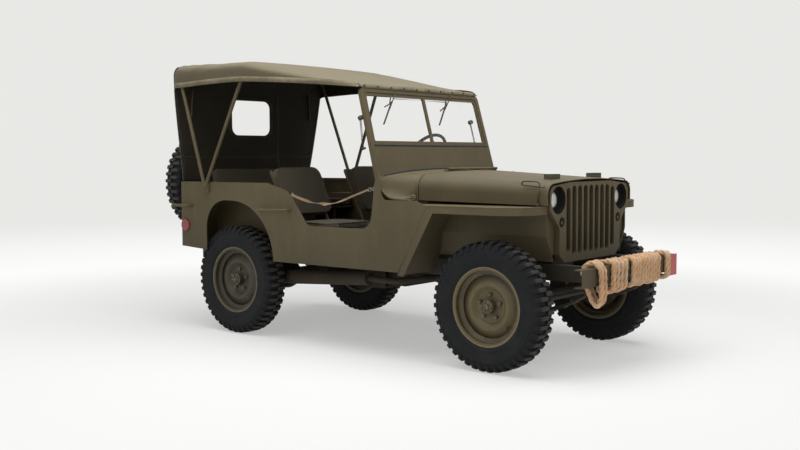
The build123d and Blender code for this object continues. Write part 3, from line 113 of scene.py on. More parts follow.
class Look:
    def __init__(self, name, **sockets):
        self.material = bpy.data.materials.new(name)
        self.material.use_nodes = True
        self.tree = self.material.node_tree
        self.shader = self.tree.nodes["Principled BSDF"]
        for socket, value in sockets.items():
            self.shader.inputs[socket.replace("_", " ")].default_value = value
        place = self.tree.nodes.new("ShaderNodeTexCoord")
        self.place = Value(self, place.outputs["Object"])
        self.uv = Value(self, place.outputs["UV"])

    def put(self, value, socket):
        if isinstance(value, Value):
            self.tree.links.new(value.socket, socket)
        else:
            socket.default_value = value

    def node(self, kind, settings=None, inputs=None, out=0):
        made = self.tree.nodes.new(kind)
        for name, value in (settings or {}).items():
            setattr(made, name, value)
        for key, value in (inputs or {}).items():
            self.put(value, made.inputs[key])
        return Value(self, made.outputs[out])

    def axes(self, vector=None):
        split = self.tree.nodes.new("ShaderNodeSeparateXYZ")
        self.put(vector or self.place, split.inputs[0])
        return [Value(self, socket) for socket in split.outputs]

    def joined(self, x, y, z):
        return self.node("ShaderNodeCombineXYZ", None, {0: x, 1: y, 2: z})

    def noise(self, scale, detail=3.0, roughness=0.5, vector=None):
        inputs = {"Vector": vector or self.place, "Scale": scale, "Detail": detail, "Roughness": roughness}
        return self.node("ShaderNodeTexNoise", None, inputs)

    def wave(self, value, pitch):
        """A sine of a length in metres, from 0 to 1, with that pitch."""
        return (value * (2 * pi / pitch)).math("SINE") * 0.5 + 0.5

    def mix(self, factor, a, b):
        inputs = {0: factor, 6: a, 7: b}
        return self.node("ShaderNodeMix", {"data_type": "RGBA"}, inputs, 2)

    def bump(self, height, distance, strength=1.0):
        inputs = {"Height": height, "Distance": distance, "Strength": strength}
        return self.node("ShaderNodeBump", None, inputs)

    def finish(self, colour=None, roughness=None, normal=None):
        for value, socket in ((colour, "Base Color"), (roughness, "Roughness"), (normal, "Normal")):
            if value is not None:
                self.put(value, self.shader.inputs[socket])
        return self.material


def tone(red, green, blue):
    """A colour from its 0 to 255 screen values."""
    linear = [((c / 255 + 0.055) / 1.055) ** 2.4 for c in (red, green, blue)]
    return (*linear, 1.0)


# ---- studio -------------------------------------------------------------------------------------------
# A white room: a pale floor that keeps the shadow and fades into the wall, a large soft lamp overhead
# and two at the sides. The wall shows to the camera and in gloss; softer light from it fills the shadows.
WALL, FLOOR, FLOOR_GLOW = (0.81, 0.81, 0.79, 1), (0.92, 0.92, 0.91, 1), (1.0, 1.0, 0.99, 1)
FILL, FILL_STRENGTH, FLOOR_SIZE = (0.95, 0.97, 1.0, 1), 0.10, 60
room = bpy.data.worlds.new("room")
bpy.context.scene.world = room
room.use_nodes = True
air = room.node_tree
backdrop, lighting = air.nodes["Background"], air.nodes.new("ShaderNodeBackground")
backdrop.inputs["Color"].default_value = WALL
lighting.inputs["Color"].default_value = FILL
lighting.inputs["Strength"].default_value = FILL_STRENGTH
rays, shown = air.nodes.new("ShaderNodeLightPath"), air.nodes.new("ShaderNodeMixShader")
seen = rays.outputs["Is Camera Ray"]
for ray in ("Is Glossy Ray", "Is Transmission Ray"):
    either = air.nodes.new("ShaderNodeMath")
    either.operation = "MAXIMUM"
    air.links.new(seen, either.inputs[0])
    air.links.new(rays.outputs[ray], either.inputs[1])
    seen = either.outputs[0]
air.links.new(seen, shown.inputs[0])
air.links.new(lighting.outputs[0], shown.inputs[1])
air.links.new(backdrop.outputs[0], shown.inputs[2])
air.links.new(shown.outputs[0], air.nodes["World Output"].inputs["Surface"])

floor_mesh = bmesh.new()
bmesh.ops.create_grid(floor_mesh, x_segments=1, y_segments=1, size=FLOOR_SIZE)
floor = bpy.data.objects.new("floor", bpy.data.meshes.new("floor"))
floor_mesh.to_mesh(floor.data)
floor_mesh.free()
bpy.context.scene.collection.objects.link(floor)
floor_look = Look("floor_paint", Roughness=0.7, Specular_IOR_Level=0.2)
away = floor_look.node("ShaderNodeVectorMath", {"operation": "LENGTH"}, {0: floor_look.place}, 1)
floor_look.finish(floor_look.mix(away.between(1.5, 6.0), FLOOR, WALL))
lit = floor_look.mix(away.between(3.0, 14.0), FLOOR_GLOW, WALL)
glow = floor_look.node("ShaderNodeEmission", None, {"Color": lit})
looked_at, gloss, through = (
    floor_look.node("ShaderNodeLightPath", None, None, ray)
    for ray in ("Is Camera Ray", "Is Glossy Ray", "Is Transmission Ray")
)
seen_far = (away.between(1.8, 5.5) * 0.6 + 0.4) * looked_at.math("MAXIMUM", gloss).math("MAXIMUM", through)
shade = floor_look.node("ShaderNodeMixShader", None, {0: seen_far, 2: glow})
floor_look.tree.links.new(floor_look.shader.outputs[0], shade.socket.node.inputs[1])
floor_look.tree.links.new(shade.socket, floor_look.tree.nodes["Material Output"].inputs["Surface"])
floor.data.materials.append(floor_look.material)


def lamp(name, place, aim, size, watts):
    """A soft rectangular lamp, aimed at a place."""
    light = bpy.data.lights.new(name, "AREA")
    light.shape = "RECTANGLE"
    light.size, light.size_y = size
    light.energy = watts
    made = bpy.data.objects.new(name, light)
    bpy.context.scene.collection.objects.link(made)
    made.location = place
    made.rotation_euler = (Vector(aim) - Vector(place)).to_track_quat("-Z", "Y").to_euler()


lamp("overhead", (0.5, -0.6, 5.2), (0, 0, 0.5), (7.0, 5.0), 345)
lamp("right_side", (1.0, -7.0, 3.2), (0, 0, 0.9), (6.0, 3.0), 88)
lamp("front_side", (7.0, -1.0, 3.0), (0, 0, 0.9), (4.0, 3.0), 45)


# ---- rope on the bumper -----------------------------------------------------------------------------
# One hemp rope of 32 mm, three strands, wound round the front bumper. It starts behind the left end,
# crosses the left frame rail, fills the middle in a close and a looser run of turns, and ends in two
# slack turns that hang down outside the right rail.
rope_box, end_box, loop_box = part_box("rope_turns"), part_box("rope_end_turns"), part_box("rope_loop")
ROPE_R, STRAND_R, STRANDS, ROPE_LAY = 0.016, 0.0088, 3, 0.115
bumper_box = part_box("front_bumper")
middle = (bumper_box[0] + bumper_box[1]) / 2
CLEAR, CORNER = 0.002, 0.013
WIND = (bumper_box[1].x - middle.x + ROPE_R + CLEAR, bumper_box[1].z - middle.z + ROPE_R + CLEAR)


def one_turn(sag):
    """The control points of a turn round the bumper, from behind its top: x, z and share of the turn."""
    a, b, c = *WIND, CORNER
    under = -b - sag
    ring = [(-a + c, b), (0, b), (a - c, b), (a, b - c), (a - 0.002, b / 3), (a - 0.002, -b / 3)]
    ring += [(a, under + c), (a - c, under), (0, under), (-a + c, under), (-a, under + c), (-a + 0.002, 0)]
    ring.append((-a, b - c))
    return [(x, z, i / len(ring)) for i, (x, z) in enumerate(ring)]


def turns(y_from, y_to, count, slack):
    """Control points of a run of turns from one y to another, each hanging down by its own slack."""
    step = (y_to - y_from) / count
    points = []
    for n in range(count):
        for x, z, share in one_turn(slack * (1 + 0.5 * sin(2.4 * n))):
            wobble = 0.0025 * sin(2.1 * n + 5 * share)
            points.append((middle.x + x, y_from + (n + share) * step + wobble, middle.z + z))
    return points


LOOSE_END = -0.296
RUNS = (  # from y, to y, count of turns, how far a turn hangs down
    (end_box[1].y - ROPE_R, end_box[0].y + ROPE_R, 2, 0.006),
    (rope_box[1].y - ROPE_R, -0.052, 10, 0.010),
    (-0.112, LOOSE_END, 4, 0.018),
)
rope_points = [point for run in RUNS for point in turns(*run)]
loop_y = loop_box[0].y + ROPE_R
front_x, back_x = middle.x + WIND[0] + 0.003, middle.x - WIND[0] - 0.003
loop_top, loop_low = middle.z + WIND[1] + 0.003, loop_box[0].z + ROPE_R


def hanging(y, low):
    """Control points of a turn that hangs below the bumper, from behind its top to over its top."""
    return [
        (back_x, y, middle.z + 0.03),
        (back_x, y, middle.z - 0.06),
        (back_x + 0.012, y, low + 0.07),
        (middle.x - 0.012, y, low + 0.02),
        (middle.x + 0.014, y - 0.002, low - 0.004),
        (front_x - 0.012, y - 0.004, low + 0.010),
        (front_x, y - 0.006, low + 0.05),
        (front_x + 0.002, y - 0.008, middle.z - 0.07),
        (front_x, y - 0.010, middle.z + 0.01),
        (front_x - 0.002, y - 0.015, loop_top - 0.022),
        (middle.x + 0.014, y - 0.021, loop_top + 0.004),
        (middle.x - 0.016, y - 0.028, loop_top + 0.003),
    ]


rope_points += [
    (middle.x - 0.012, LOOSE_END - 0.016, loop_top),
    (middle.x - 0.02, LOOSE_END - 0.045, loop_top),
    (back_x + 0.008, loop_y + 0.05, loop_top - 0.002),
]
rope_points += hanging(loop_y + 0.034, loop_low + 0.006) + hanging(loop_y, loop_low)
rope_points += [(back_x, loop_y - 0.037, loop_top - 0.022), (back_x, loop_y - 0.040, middle.z + 0.005)]


def spline_points(name, points):
    """Points read from the smooth line of a NURBS spline with these control points."""
    curve = bpy.data.curves.new(name, "CURVE")
    curve.dimensions = "3D"
    curve.resolution_u = 5
    spline = curve.splines.new("NURBS")
    spline.points.add(len(points) - 1)
    for point, place in zip(spline.points, points):
        point.co = (*place, 1)
    spline.order_u = 3
    spline.use_endpoint_u = True
    route = bpy.data.objects.new(name, curve)
    bpy.context.scene.collection.objects.link(route)
    bpy.context.view_layer.update()
    drawn = bpy.data.meshes.new_from_object(route)
    line = [v.co.copy() for v in drawn.vertices]
    bpy.data.objects.remove(route)
    bpy.data.meshes.remove(drawn)
    return line


def new_piece(name, mesh, material, body):
    """A finished bmesh as an object that rides on a body, with its finish."""
    piece = bpy.data.objects.new(name, bpy.data.meshes.new(name))
    mesh.to_mesh(piece.data)
    mesh.free()
    for face in piece.data.polygons:
        face.use_smooth = True
    piece.data.materials.append(material)
    bpy.context.scene.collection.objects.link(piece)
    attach(piece, body)
    return piece


def along(line, radius, sides, mesh, offset=0.0, lay=1.0, start=0.0):
    """A tube along a line, or a strand that winds round it, with closed ends."""
    reference = Vector((0, 1, 0))
    ring_before, distance = None, 0.0
    for i, place in enumerate(line):
        ahead_of = (line[min(i + 1, len(line) - 1)] - line[max(i - 1, 0)]).normalized()
        reference = (reference - ahead_of * reference.dot(ahead_of)).normalized()
        across = ahead_of.cross(reference)
        if i:
            distance += (place - line[i - 1]).length
        wind = start + 2 * pi * distance / lay
        centre = place + (reference * cos(wind) + across * sin(wind)) * offset
        ring = []
        for k in range(sides):
            around = 2 * pi * k / sides + wind
            ring.append(mesh.verts.new(centre + (reference * cos(around) + across * sin(around)) * radius))
        if ring_before:
            for k in range(sides):
                mesh.faces.new((ring_before[k], ring[k], ring[(k + 1) % sides], ring_before[(k + 1) % sides]))
        else:
            mesh.faces.new(list(reversed(ring)))
        ring_before = ring
    mesh.faces.new(ring_before)
    bmesh.ops.recalc_face_normals(mesh, faces=mesh.faces)


hemp = Look("hemp", Roughness=0.95, Sheen_Weight=0.3)
fibre = hemp.noise(600, 4, 0.7)
patches = hemp.noise(14, 3)
shade_of_hemp = hemp.mix(patches.between(0.35, 0.7), tone(252, 214, 166), tone(255, 240, 208))
hemp.finish(
    hemp.mix(fibre.between(0.25, 0.9), tone(206, 152, 106), shade_of_hemp),
    None,
    hemp.bump(fibre, 0.002),
)
rope_line = spline_points("rope_route", rope_points)
rope_mesh = bmesh.new()
for k in range(STRANDS):
    along(rope_line, STRAND_R, 7, rope_mesh, ROPE_R - STRAND_R, ROPE_LAY, 2 * pi * k / STRANDS)
rope = new_piece("rope", rope_mesh, hemp.material, "chassis")
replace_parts(rope, "rope_turns", "rope_end_turns", "rope_loop")


# ---- painted steel ----------------------------------------------------------------------------------
# Pressed and welded steel under flat olive paint: a little chalky, with dust in the low places, faint
# stains that run down and small worn spots, and painted shade that darkens it towards the bottom. The pieces
# come from the CAD and only get this finish.
def paint(name, colour, worn, dust=0.12, rough=0.62, spots=0.72):
    look = Look(name, Metallic=0.0, Specular_IOR_Level=0.38)
    x, y, z = look.axes()
    clouds = look.noise(2.2, 4, 0.6)
    streaks = look.noise(1.0, 3, 0.6, look.joined(x * 16, y * 16, z * 2.4))
    speckle = look.noise(70, 3, 0.65)
    paler_tone = look.mix(clouds.between(0.3, 0.75) * 0.5 + streaks.between(0.45, 0.8) * 0.35, colour, worn)
    # Painted shade: from 0.95 m down to 0.35 m the colour darkens towards the bottom of the car.
    low = 1 - z.between(0.35, 0.95)
    shaded_low = look.mix(low * 0.55, paler_tone, tone(48, 43, 30))
    dusted = look.mix(low * clouds.between(0.3, 0.6) * dust, shaded_low, tone(100, 90, 72))
    chips = look.mix(speckle.between(spots, spots + 0.06) * 0.5, dusted, worn)
    grain = look.noise(420, 2)
    return look.finish(
        chips,
        (rough - 0.08) + speckle * 0.12 + clouds * 0.06,
        look.bump(grain * 0.4 + clouds, 0.0008, 0.35),
    )


def coat(material, *nodes):
    """Gives pieces of the CAD their finish."""
    for node in nodes:
        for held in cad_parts[node].material_slots:
            held.material = material


olive = paint("olive_paint", tone(84, 74, 50), tone(103, 93, 67), dust=0.05)
coat(olive, "cowl", "body_floor", "rear_panel", "grille", "hood", "windshield_frame", "glass_frame")
coat(olive, "body_side_right", "body_side_left", "fender_right", "fender_left", "body_handles")
coat(olive, "top_bows", "front_seats", "rear_seat", "spare_carrier", "front_bumper", "rear_bumperettes")
# The chassis paint is a much darker copy of the olive: painted shade.
under = paint("chassis_paint_shaded", tone(32, 28, 21), tone(48, 42, 32), dust=0.06, rough=0.7)
coat(under, "frame_rails", "cross_members", "front_axle", "rear_axle", "leaf_springs", "tie_rod")
coat(under, "knuckle_right", "knuckle_left", "propeller_shafts", "fuel_tank", "radiator", "pintle_hook")
cast = paint("cast_iron", tone(44, 41, 35), tone(66, 61, 52), dust=0.1, rough=0.75)
coat(cast, "engine_block", "gearbox")
rust = paint("pipe_rust", tone(44, 37, 31), tone(70, 54, 42), dust=0.1, rough=0.85, spots=0.6)
coat(rust, "exhaust")
column = paint("column_paint", tone(62, 57, 43), tone(88, 80, 62), rough=0.5)
coat(column, "steering_column")
black = Look("steering_wheel_rubber", Roughness=0.5)
worn_grip = black.noise(26, 4)
black.finish(
    black.mix(worn_grip.between(0.45, 0.8), tone(54, 56, 50), tone(92, 92, 82)),
    worn_grip * 0.2 + 0.4,
    black.bump(black.noise(300, 2), 0.0006, 0.5),
)
coat(black.material, "steering_wheel")


# ---- window glass, lamps and wood blocks -----------------------------------------------------------
# Flat laminated glass, nearly colourless, in the windscreen's frame. Lamp bowls of pressed, painted steel
# and red pressed glass at the rear, a red sheet-steel plate on the bumper and hardwood rests on the hood.
pane = Look("pane", Roughness=0.02, IOR=1.1, Transmission_Weight=1.0)
smear = pane.noise(3, 5, 0.65)
CLEAR_GLASS, SMEARED = (1, 1, 1, 1), (0.93, 0.95, 0.94, 1)
pane.finish(pane.mix(smear.between(0.5, 0.9), CLEAR_GLASS, SMEARED), smear.between(0.6, 1.0) * 0.04)
coat(pane.material, "glass_panes")
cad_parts["glass_panes"].visible_shadow = False
lamp_shell = paint("lamp_paint", tone(66, 60, 46), tone(96, 90, 72), rough=0.5)
coat(lamp_shell, "front_lamps")
red_glass = Look("red_glass", Roughness=0.18, Coat_Weight=0.6, Coat_Roughness=0.05)
_, side_y, side_z = red_glass.axes()
prisms = red_glass.wave(side_z + side_y, 0.007) * red_glass.wave(side_z - side_y, 0.007)
red_glass.finish(
    red_glass.mix(prisms, tone(120, 16, 12), tone(176, 34, 26)),
    None,
    red_glass.bump(prisms, 0.0015, 0.6),
)
coat(red_glass.material, "rear_lamps")
plate_red = Look("plate_red", Roughness=0.4, Coat_Weight=0.2)
chalk = plate_red.noise(9, 4)
plate_red.finish(
    plate_red.mix(chalk.between(0.35, 0.75), tone(178, 34, 30), tone(196, 60, 52)),
    0.35 + chalk * 0.15,
    plate_red.bump(chalk, 0.001, 0.3),
)
coat(plate_red.material, "sign_plate")
block_wood = Look("block_wood", Roughness=0.7)
grain_x, grain_y, grain_z = block_wood.axes()
rings = block_wood.noise(1.0, 4, 0.6, block_wood.joined(grain_x * 160, grain_y * 9, grain_z * 160))
block_wood.finish(
    block_wood.mix(rings.between(0.3, 0.7), tone(60, 54, 40), tone(92, 84, 64)),
    None,
    block_wood.bump(rings, 0.001, 0.7),
)
coat(block_wood.material, "hood_blocks")


# ---- tyres ------------------------------------------------------------------------------------------
# Bias-ply tyres with bars across the tread. The bars on the two halves alternate and wrap over the
# shoulder. All five are one mesh, moved to its wheel and slid onto the rim.
BAR_COUNT = 44
TYRE_SIDE = [  # distance from the axle, and from the middle of the tread
    (0.2065, 0.046), (0.2075, 0.055), (0.213, 0.0595), (0.224, 0.0655), (0.236, 0.0698), (0.2385, 0.0722),
    (0.2425, 0.0726), (0.245, 0.0716), (0.262, 0.0762), (0.284, 0.0788), (0.298, 0.0788), (0.3005, 0.0797),
    (0.304, 0.0797), (0.3065, 0.0778), (0.320, 0.0748), (0.331, 0.0705), (0.339, 0.0640), (0.344, 0.055),
    (0.3465, 0.030), (0.347, 0.0),
]  # fmt: skip
BAR = [  # along a bar: distance from the middle of the tread, height of its top and of its foot, half width
    (-0.004, 0.3605, 0.343, 0.0095), (0.010, 0.3610, 0.343, 0.0125), (0.032, 0.3610, 0.342, 0.0130),
    (0.050, 0.3598, 0.340, 0.0130), (0.0605, 0.3560, 0.336, 0.0130), (0.0685, 0.3490, 0.331, 0.0128),
    (0.0742, 0.3395, 0.325, 0.0124), (0.0774, 0.3290, 0.320, 0.0118), (0.0785, 0.3215, 0.3165, 0.0112),
]  # fmt: skip


def lathe(mesh, profile, steps):
    """Turns a profile (radius, distance along Y) full circle round the Y axis."""
    closed = profile[0] == profile[-1]
    points = [mesh.verts.new((radius, out, 0)) for radius, out in (profile[:-1] if closed else profile)]
    following = points[1:] + points[:1] if closed else points[1:]
    edges = [mesh.edges.new(pair) for pair in zip(points, following)]
    bmesh.ops.spin(
        mesh, geom=points + edges, cent=(0, 0, 0), axis=(0, 1, 0), angle=2 * pi, steps=steps, use_merge=True
    )
    bmesh.ops.remove_doubles(mesh, verts=mesh.verts, dist=1e-6)
    bmesh.ops.recalc_face_normals(mesh, faces=mesh.faces)


def stored(name, mesh):
    """A finished bmesh as mesh data that several pieces can use."""
    data = bpy.data.meshes.new(name)
    mesh.to_mesh(data)
    mesh.free()
    return data


def one_bar():
    """One bar of the tread, across the top of the tyre, with its upper edges rounded."""
    bar = bmesh.new()
    rings = []
    for out, top, foot, half in BAR:
        ring = [(-half * 0.86, out, top), (half * 0.86, out, top), (half, out, foot), (-half, out, foot)]
        rings.append([bar.verts.new(corner) for corner in ring])
    for a, b in zip(rings, rings[1:]):
        for k in range(4):
            bar.faces.new((a[k], a[(k + 1) % 4], b[(k + 1) % 4], b[k]))
    bar.faces.new(rings[0])
    bar.faces.new(list(reversed(rings[-1])))
    bmesh.ops.recalc_face_normals(bar, faces=bar.faces)
    sharp = [e for e in bar.edges if e.calc_face_angle(0) > 0.9 and e.verts[0].co.z > 0.32]
    bmesh.ops.bevel(bar, geom=sharp, offset=0.0016, segments=2, profile=0.5, affect="EDGES", material=-1)
    return stored("bar", bar)


bar_data = one_bar()
tread = bmesh.new()
lathe(tread, TYRE_SIDE + [(r, -out) for r, out in reversed(TYRE_SIDE[:-1])] + TYRE_SIDE[:1], 132)
for half in (-1, 1):
    for k in range(BAR_COUNT):
        before = len(tread.verts)
        tread.from_mesh(bar_data)
        tread.verts.ensure_lookup_table()
        added = tread.verts[before:]
        if half < 0:
            bmesh.ops.rotate(tread, verts=added, cent=(0, 0, 0), matrix=Matrix.Rotation(pi, 3, "Z"))
        spread = Matrix.Rotation((k + half / 4) * (2 * pi / BAR_COUNT), 3, "Y")
        bmesh.ops.rotate(tread, verts=added, cent=(0, 0, 0), matrix=spread)
height = tread.verts.layers.float.new("height")
for v in tread.verts:
    v[height] = sqrt(v.co.x**2 + v.co.z**2)
tyre_data = stored("tyre", tread)

rubber = Look("tyre_rubber", Specular_IOR_Level=0.18)
tall = rubber.node("ShaderNodeAttribute", {"attribute_name": "height"}, None, 2)
blotch, powder = rubber.noise(7, 4, 0.6), rubber.noise(160, 3, 0.6)
on_top = tall.between(0.352, 0.3605)
wall_dust = blotch.between(0.4, 0.75) * 0.35
sooty = rubber.mix(wall_dust, tone(27, 28, 30), tone(48, 47, 47))
rubber.finish(
    rubber.mix(on_top * (powder * 0.5 + 0.35), sooty, tone(76, 73, 69)),
    0.66 + powder * 0.15,
    rubber.bump(powder * 0.5 + rubber.wave(tall, 0.011) * 0.25, 0.001, 0.5),
)

WHEELS = {  # which end of the car, which side
    "front_right": (1, -1), "front_left": (1, 1), "rear_right": (-1, -1), "rear_left": (-1, 1),
}  # fmt: skip


def centre_of(node):
    """The middle of the box round a piece of the CAD."""
    low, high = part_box(node)
    return (low + high) / 2


def place_mesh(name, data, matrix, material, body):
    """A copy of a mesh, moved into place, as a piece that rides on a body."""
    piece = bpy.data.objects.new(name, data.copy())
    piece.data.transform(matrix)
    piece.data.materials.append(material)
    for face in piece.data.polygons:
        face.use_smooth = True
    piece.data.set_sharp_from_angle(angle=0.7)
    bpy.context.scene.collection.objects.link(piece)
    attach(piece, body)
    return piece


for name in WHEELS:
    node = "tyre_" + name
    stood = Matrix.Translation(centre_of(node)) @ Matrix.Rotation(0.05 * len(name), 4, "Y")
    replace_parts(place_mesh(node + "_rubber", tyre_data, stood, rubber.material, "wheel_" + name), node)
spare_turn = Matrix.Translation(centre_of("spare_tyre")) @ Matrix.Rotation(pi / 2, 4, "Z")
spare = place_mesh("spare_tyre_rubber", tyre_data, spare_turn, rubber.material, "chassis")
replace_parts(spare, "spare_tyre")


# ---- wheels -----------------------------------------------------------------------------------------
# Pressed steel discs on drop-centre rims. The paint is worn bright along the rim's flange and grimy in
# its well. Five nuts hold the disc, six bolts the hub's cap, and a brass valve comes through the disc.
def wheel_paint(name, node, colour, worn, grime):
    """Paint that changes with the distance from the axle: worn at the flange, grimy in the well and hub."""
    look = Look(name)
    middle = centre_of(node)
    x, y, z = look.axes()
    along_x, along_z = x - middle.x, z - middle.z
    out = ((along_x * along_x) + (along_z * along_z)) ** 0.5
    clouds, speckle = look.noise(9, 4, 0.65), look.noise(120, 3, 0.6)
    rubbed = out.between(0.208, 0.218) * speckle.between(0.25, 0.6)
    base = look.mix(clouds.between(0.35, 0.7) * 0.5, colour, worn)
    well = out.between(0.135, 0.165) * (1 - out.between(0.2, 0.21))
    dirty = look.mix(well * clouds.between(0.25, 0.6) * 0.7, base, grime)
    hub = (1 - out.between(0.04, 0.095)) * 0.45
    dirty = look.mix(hub, dirty, grime)
    return look.finish(
        look.mix(rubbed * 0.75, dirty, tone(128, 116, 84)),
        0.5 + speckle * 0.2,
        look.bump(speckle + clouds, 0.0008, 0.4),
    )


def hexagon(mesh, place, size, high, turned):
    """A nut or a bolt head that stands on a face towards -Y, with a washer under it."""
    stand = Matrix.Translation(place) @ Matrix.Rotation(pi / 2, 4, "X") @ Matrix.Rotation(turned, 4, "Z")
    washer = 0.0016
    for segments, foot, top, depth, lift in (
        (20, 0.68, 0.66, washer, washer / 2),
        (6, 0.58, 0.58, high * 0.8, washer + high * 0.4),
        (6, 0.58, 0.42, high * 0.2, washer + high * 0.9),
    ):
        bmesh.ops.create_cone(
            mesh, cap_ends=True, segments=segments, radius1=size * foot, radius2=size * top, depth=depth,
            matrix=stand @ Matrix.Translation((0, 0, lift)),
        )  # fmt: skip


def mottled(name, scale, low, high, dark, light, **sockets):
    """A plain finish whose colour drifts between two tones."""
    look = Look(name, **sockets)
    return look.finish(look.mix(look.noise(scale, 3).between(low, high), dark, light))


fastener = Look("fastener", Metallic=0.55)
tarnish = fastener.noise(90, 3)
fastener.finish(
    fastener.mix(tarnish.between(0.35, 0.7), tone(70, 64, 48), tone(120, 112, 92)), 0.42 + tarnish * 0.3
)
hub_mesh = bmesh.new()
HUB_BOLTS = (  # count, first angle, radius of their circle, distance out, size, height
    (5, 0.3, 0.068, 0.0145, 0.021, 0.015),
    (6, 0.0, 0.027, 0.0555, 0.011, 0.006),
)
for count, first, circle, out, size, high in HUB_BOLTS:
    for k in range(count):
        around = 2 * pi * k / count + first
        hexagon(hub_mesh, (circle * cos(around), -out, circle * sin(around)), size, high, around)
HUB_DOME = [(0.0, -0.0668), (0.012, -0.0662), (0.0165, -0.063), (0.0175, -0.0575), (0.0175, -0.055)]
HUB_RING = [(0.0365, -0.051), (0.0372, -0.0535), (0.0345, -0.0555), (0.033, -0.0558)]
cap = bmesh.new()
lathe(cap, HUB_DOME, 32)
lathe(cap, HUB_RING, 40)
hub_mesh.from_mesh(stored("cap", cap))
hub_data = stored("hub", hub_mesh)

valve_brass = mottled("valve", 300, 0.3, 0.7, tone(92, 50, 28), tone(138, 88, 52), Metallic=0.3, Roughness=0.6)
VALVE_FOOT, VALVE_NECK, VALVE_TIP = (0.118, -0.030, -0.105), (0.121, -0.046, -0.108), (0.1225, -0.060, -0.1095)
valve_mesh = bmesh.new()
for low, high, radius in ((VALVE_FOOT, VALVE_NECK, 0.0055), (VALVE_NECK, VALVE_TIP, 0.0036)):
    along([Vector(low), Vector(high)], radius, 12, valve_mesh)
valve_data = stored("valve", valve_mesh)

# The rear discs take a darker copy of the same paint: painted shade.
FRONT_DISC, REAR_DISC_SHADED = (tone(88, 78, 50), tone(106, 94, 64)), (tone(52, 47, 34), tone(66, 60, 44))
for name, (end, side) in WHEELS.items():
    wheel, tyre = "wheel_" + name, "tyre_" + name
    disc_colour = FRONT_DISC if end > 0 else REAR_DISC_SHADED
    coat(wheel_paint("disc_paint_" + name, tyre, *disc_colour, tone(48, 40, 26)), wheel)
    stood = Matrix.Translation(centre_of(tyre)) @ Matrix.Rotation(pi if side > 0 else 0, 4, "Z")
    for kind, data, material in (("nuts_", hub_data, fastener.material), ("valve_", valve_data, valve_brass)):
        place_mesh(kind + name, data, stood, material, wheel)
coat(under, "spare_wheel")


# ---- canvas top -----------------------------------------------------------------------------------
# One sheet of olive duck over two steel hoops. It is pulled from the windscreen's top rail over the
# front hoop and turned down behind the rear one; the sides are cut with a deep hem that hangs free.
TOP_ROWS = [  # x, then half width and height of the hem, the side's top and the roof's corner, crown
    (45, 622, 1600, 620, 1601, 560, 1612, 1622),
    (-880, 737, 1672, 727, 1756, 617, 1808, 1815),
    (-1572, 737, 1656, 739, 1745, 654, 1819, 1825),
]
FRONT_X, HOOP_X, REAR_X = (row[0] for row in TOP_ROWS)
TOP_ACROSS, TOP_TURN, TOP_THICK = 100, 44, 0.0025
TURN_X, FLAP_ROWS, FLAP_FOOT = REAR_X + TOP_TURN, 9, 1658
CORNER_FROM, CORNER_TO, CORNER_BULGE = 0.74, 0.87, 0.72
FAN_X, FAN_Z, CORNER_Y, CORNER_Z = -1640, 1640, 700, 1690
SAG, FAN_DEEP, FOLD_DEEP, UNEVEN, HEM_WAVE, WEAVE_PITCH = 6, 2.5, 1.7, 2.2, 2.5, 0.0022
CABIN = (-500, 0, 1350)


def smooth(value, low, high):
    """0 below low, 1 above high and a smooth step from one to the other."""
    t = min(1, max(0, (value - low) / (high - low)))
    return t * t * (3 - 2 * t)


def section(row):
    """Half of the top's section, from the middle of the roof round its corner and down to the hem."""
    _, half, hem, side_half, side, corner_half, corner, crown = row
    rise = crown - corner
    radius = (corner_half**2 + rise**2) / (2 * rise)
    bend_y = corner_half + (side_half - corner_half) * (2 * CORNER_BULGE - 0.5)
    bend_z = side + (corner - side) * (2 * CORNER_BULGE - 0.5)
    points = []
    for i in range(TOP_ACROSS // 2 + 1):
        v = 2 * i / TOP_ACROSS
        if v < CORNER_FROM:
            angle = asin(corner_half / radius) * v / CORNER_FROM
            y, z = radius * sin(angle), crown - radius + radius * cos(angle)
        elif v < CORNER_TO:
            t = (v - CORNER_FROM) / (CORNER_TO - CORNER_FROM)
            a, b, c = (1 - t) ** 2, 2 * t * (1 - t), t**2
            y, z = a * corner_half + b * bend_y + c * side_half, a * corner + b * bend_z + c * side
        else:
            t = (v - CORNER_TO) / (1 - CORNER_TO)
            y, z = side_half + (half - side_half) * t, side + (hem - side) * t
        points.append((y, z))
    return points


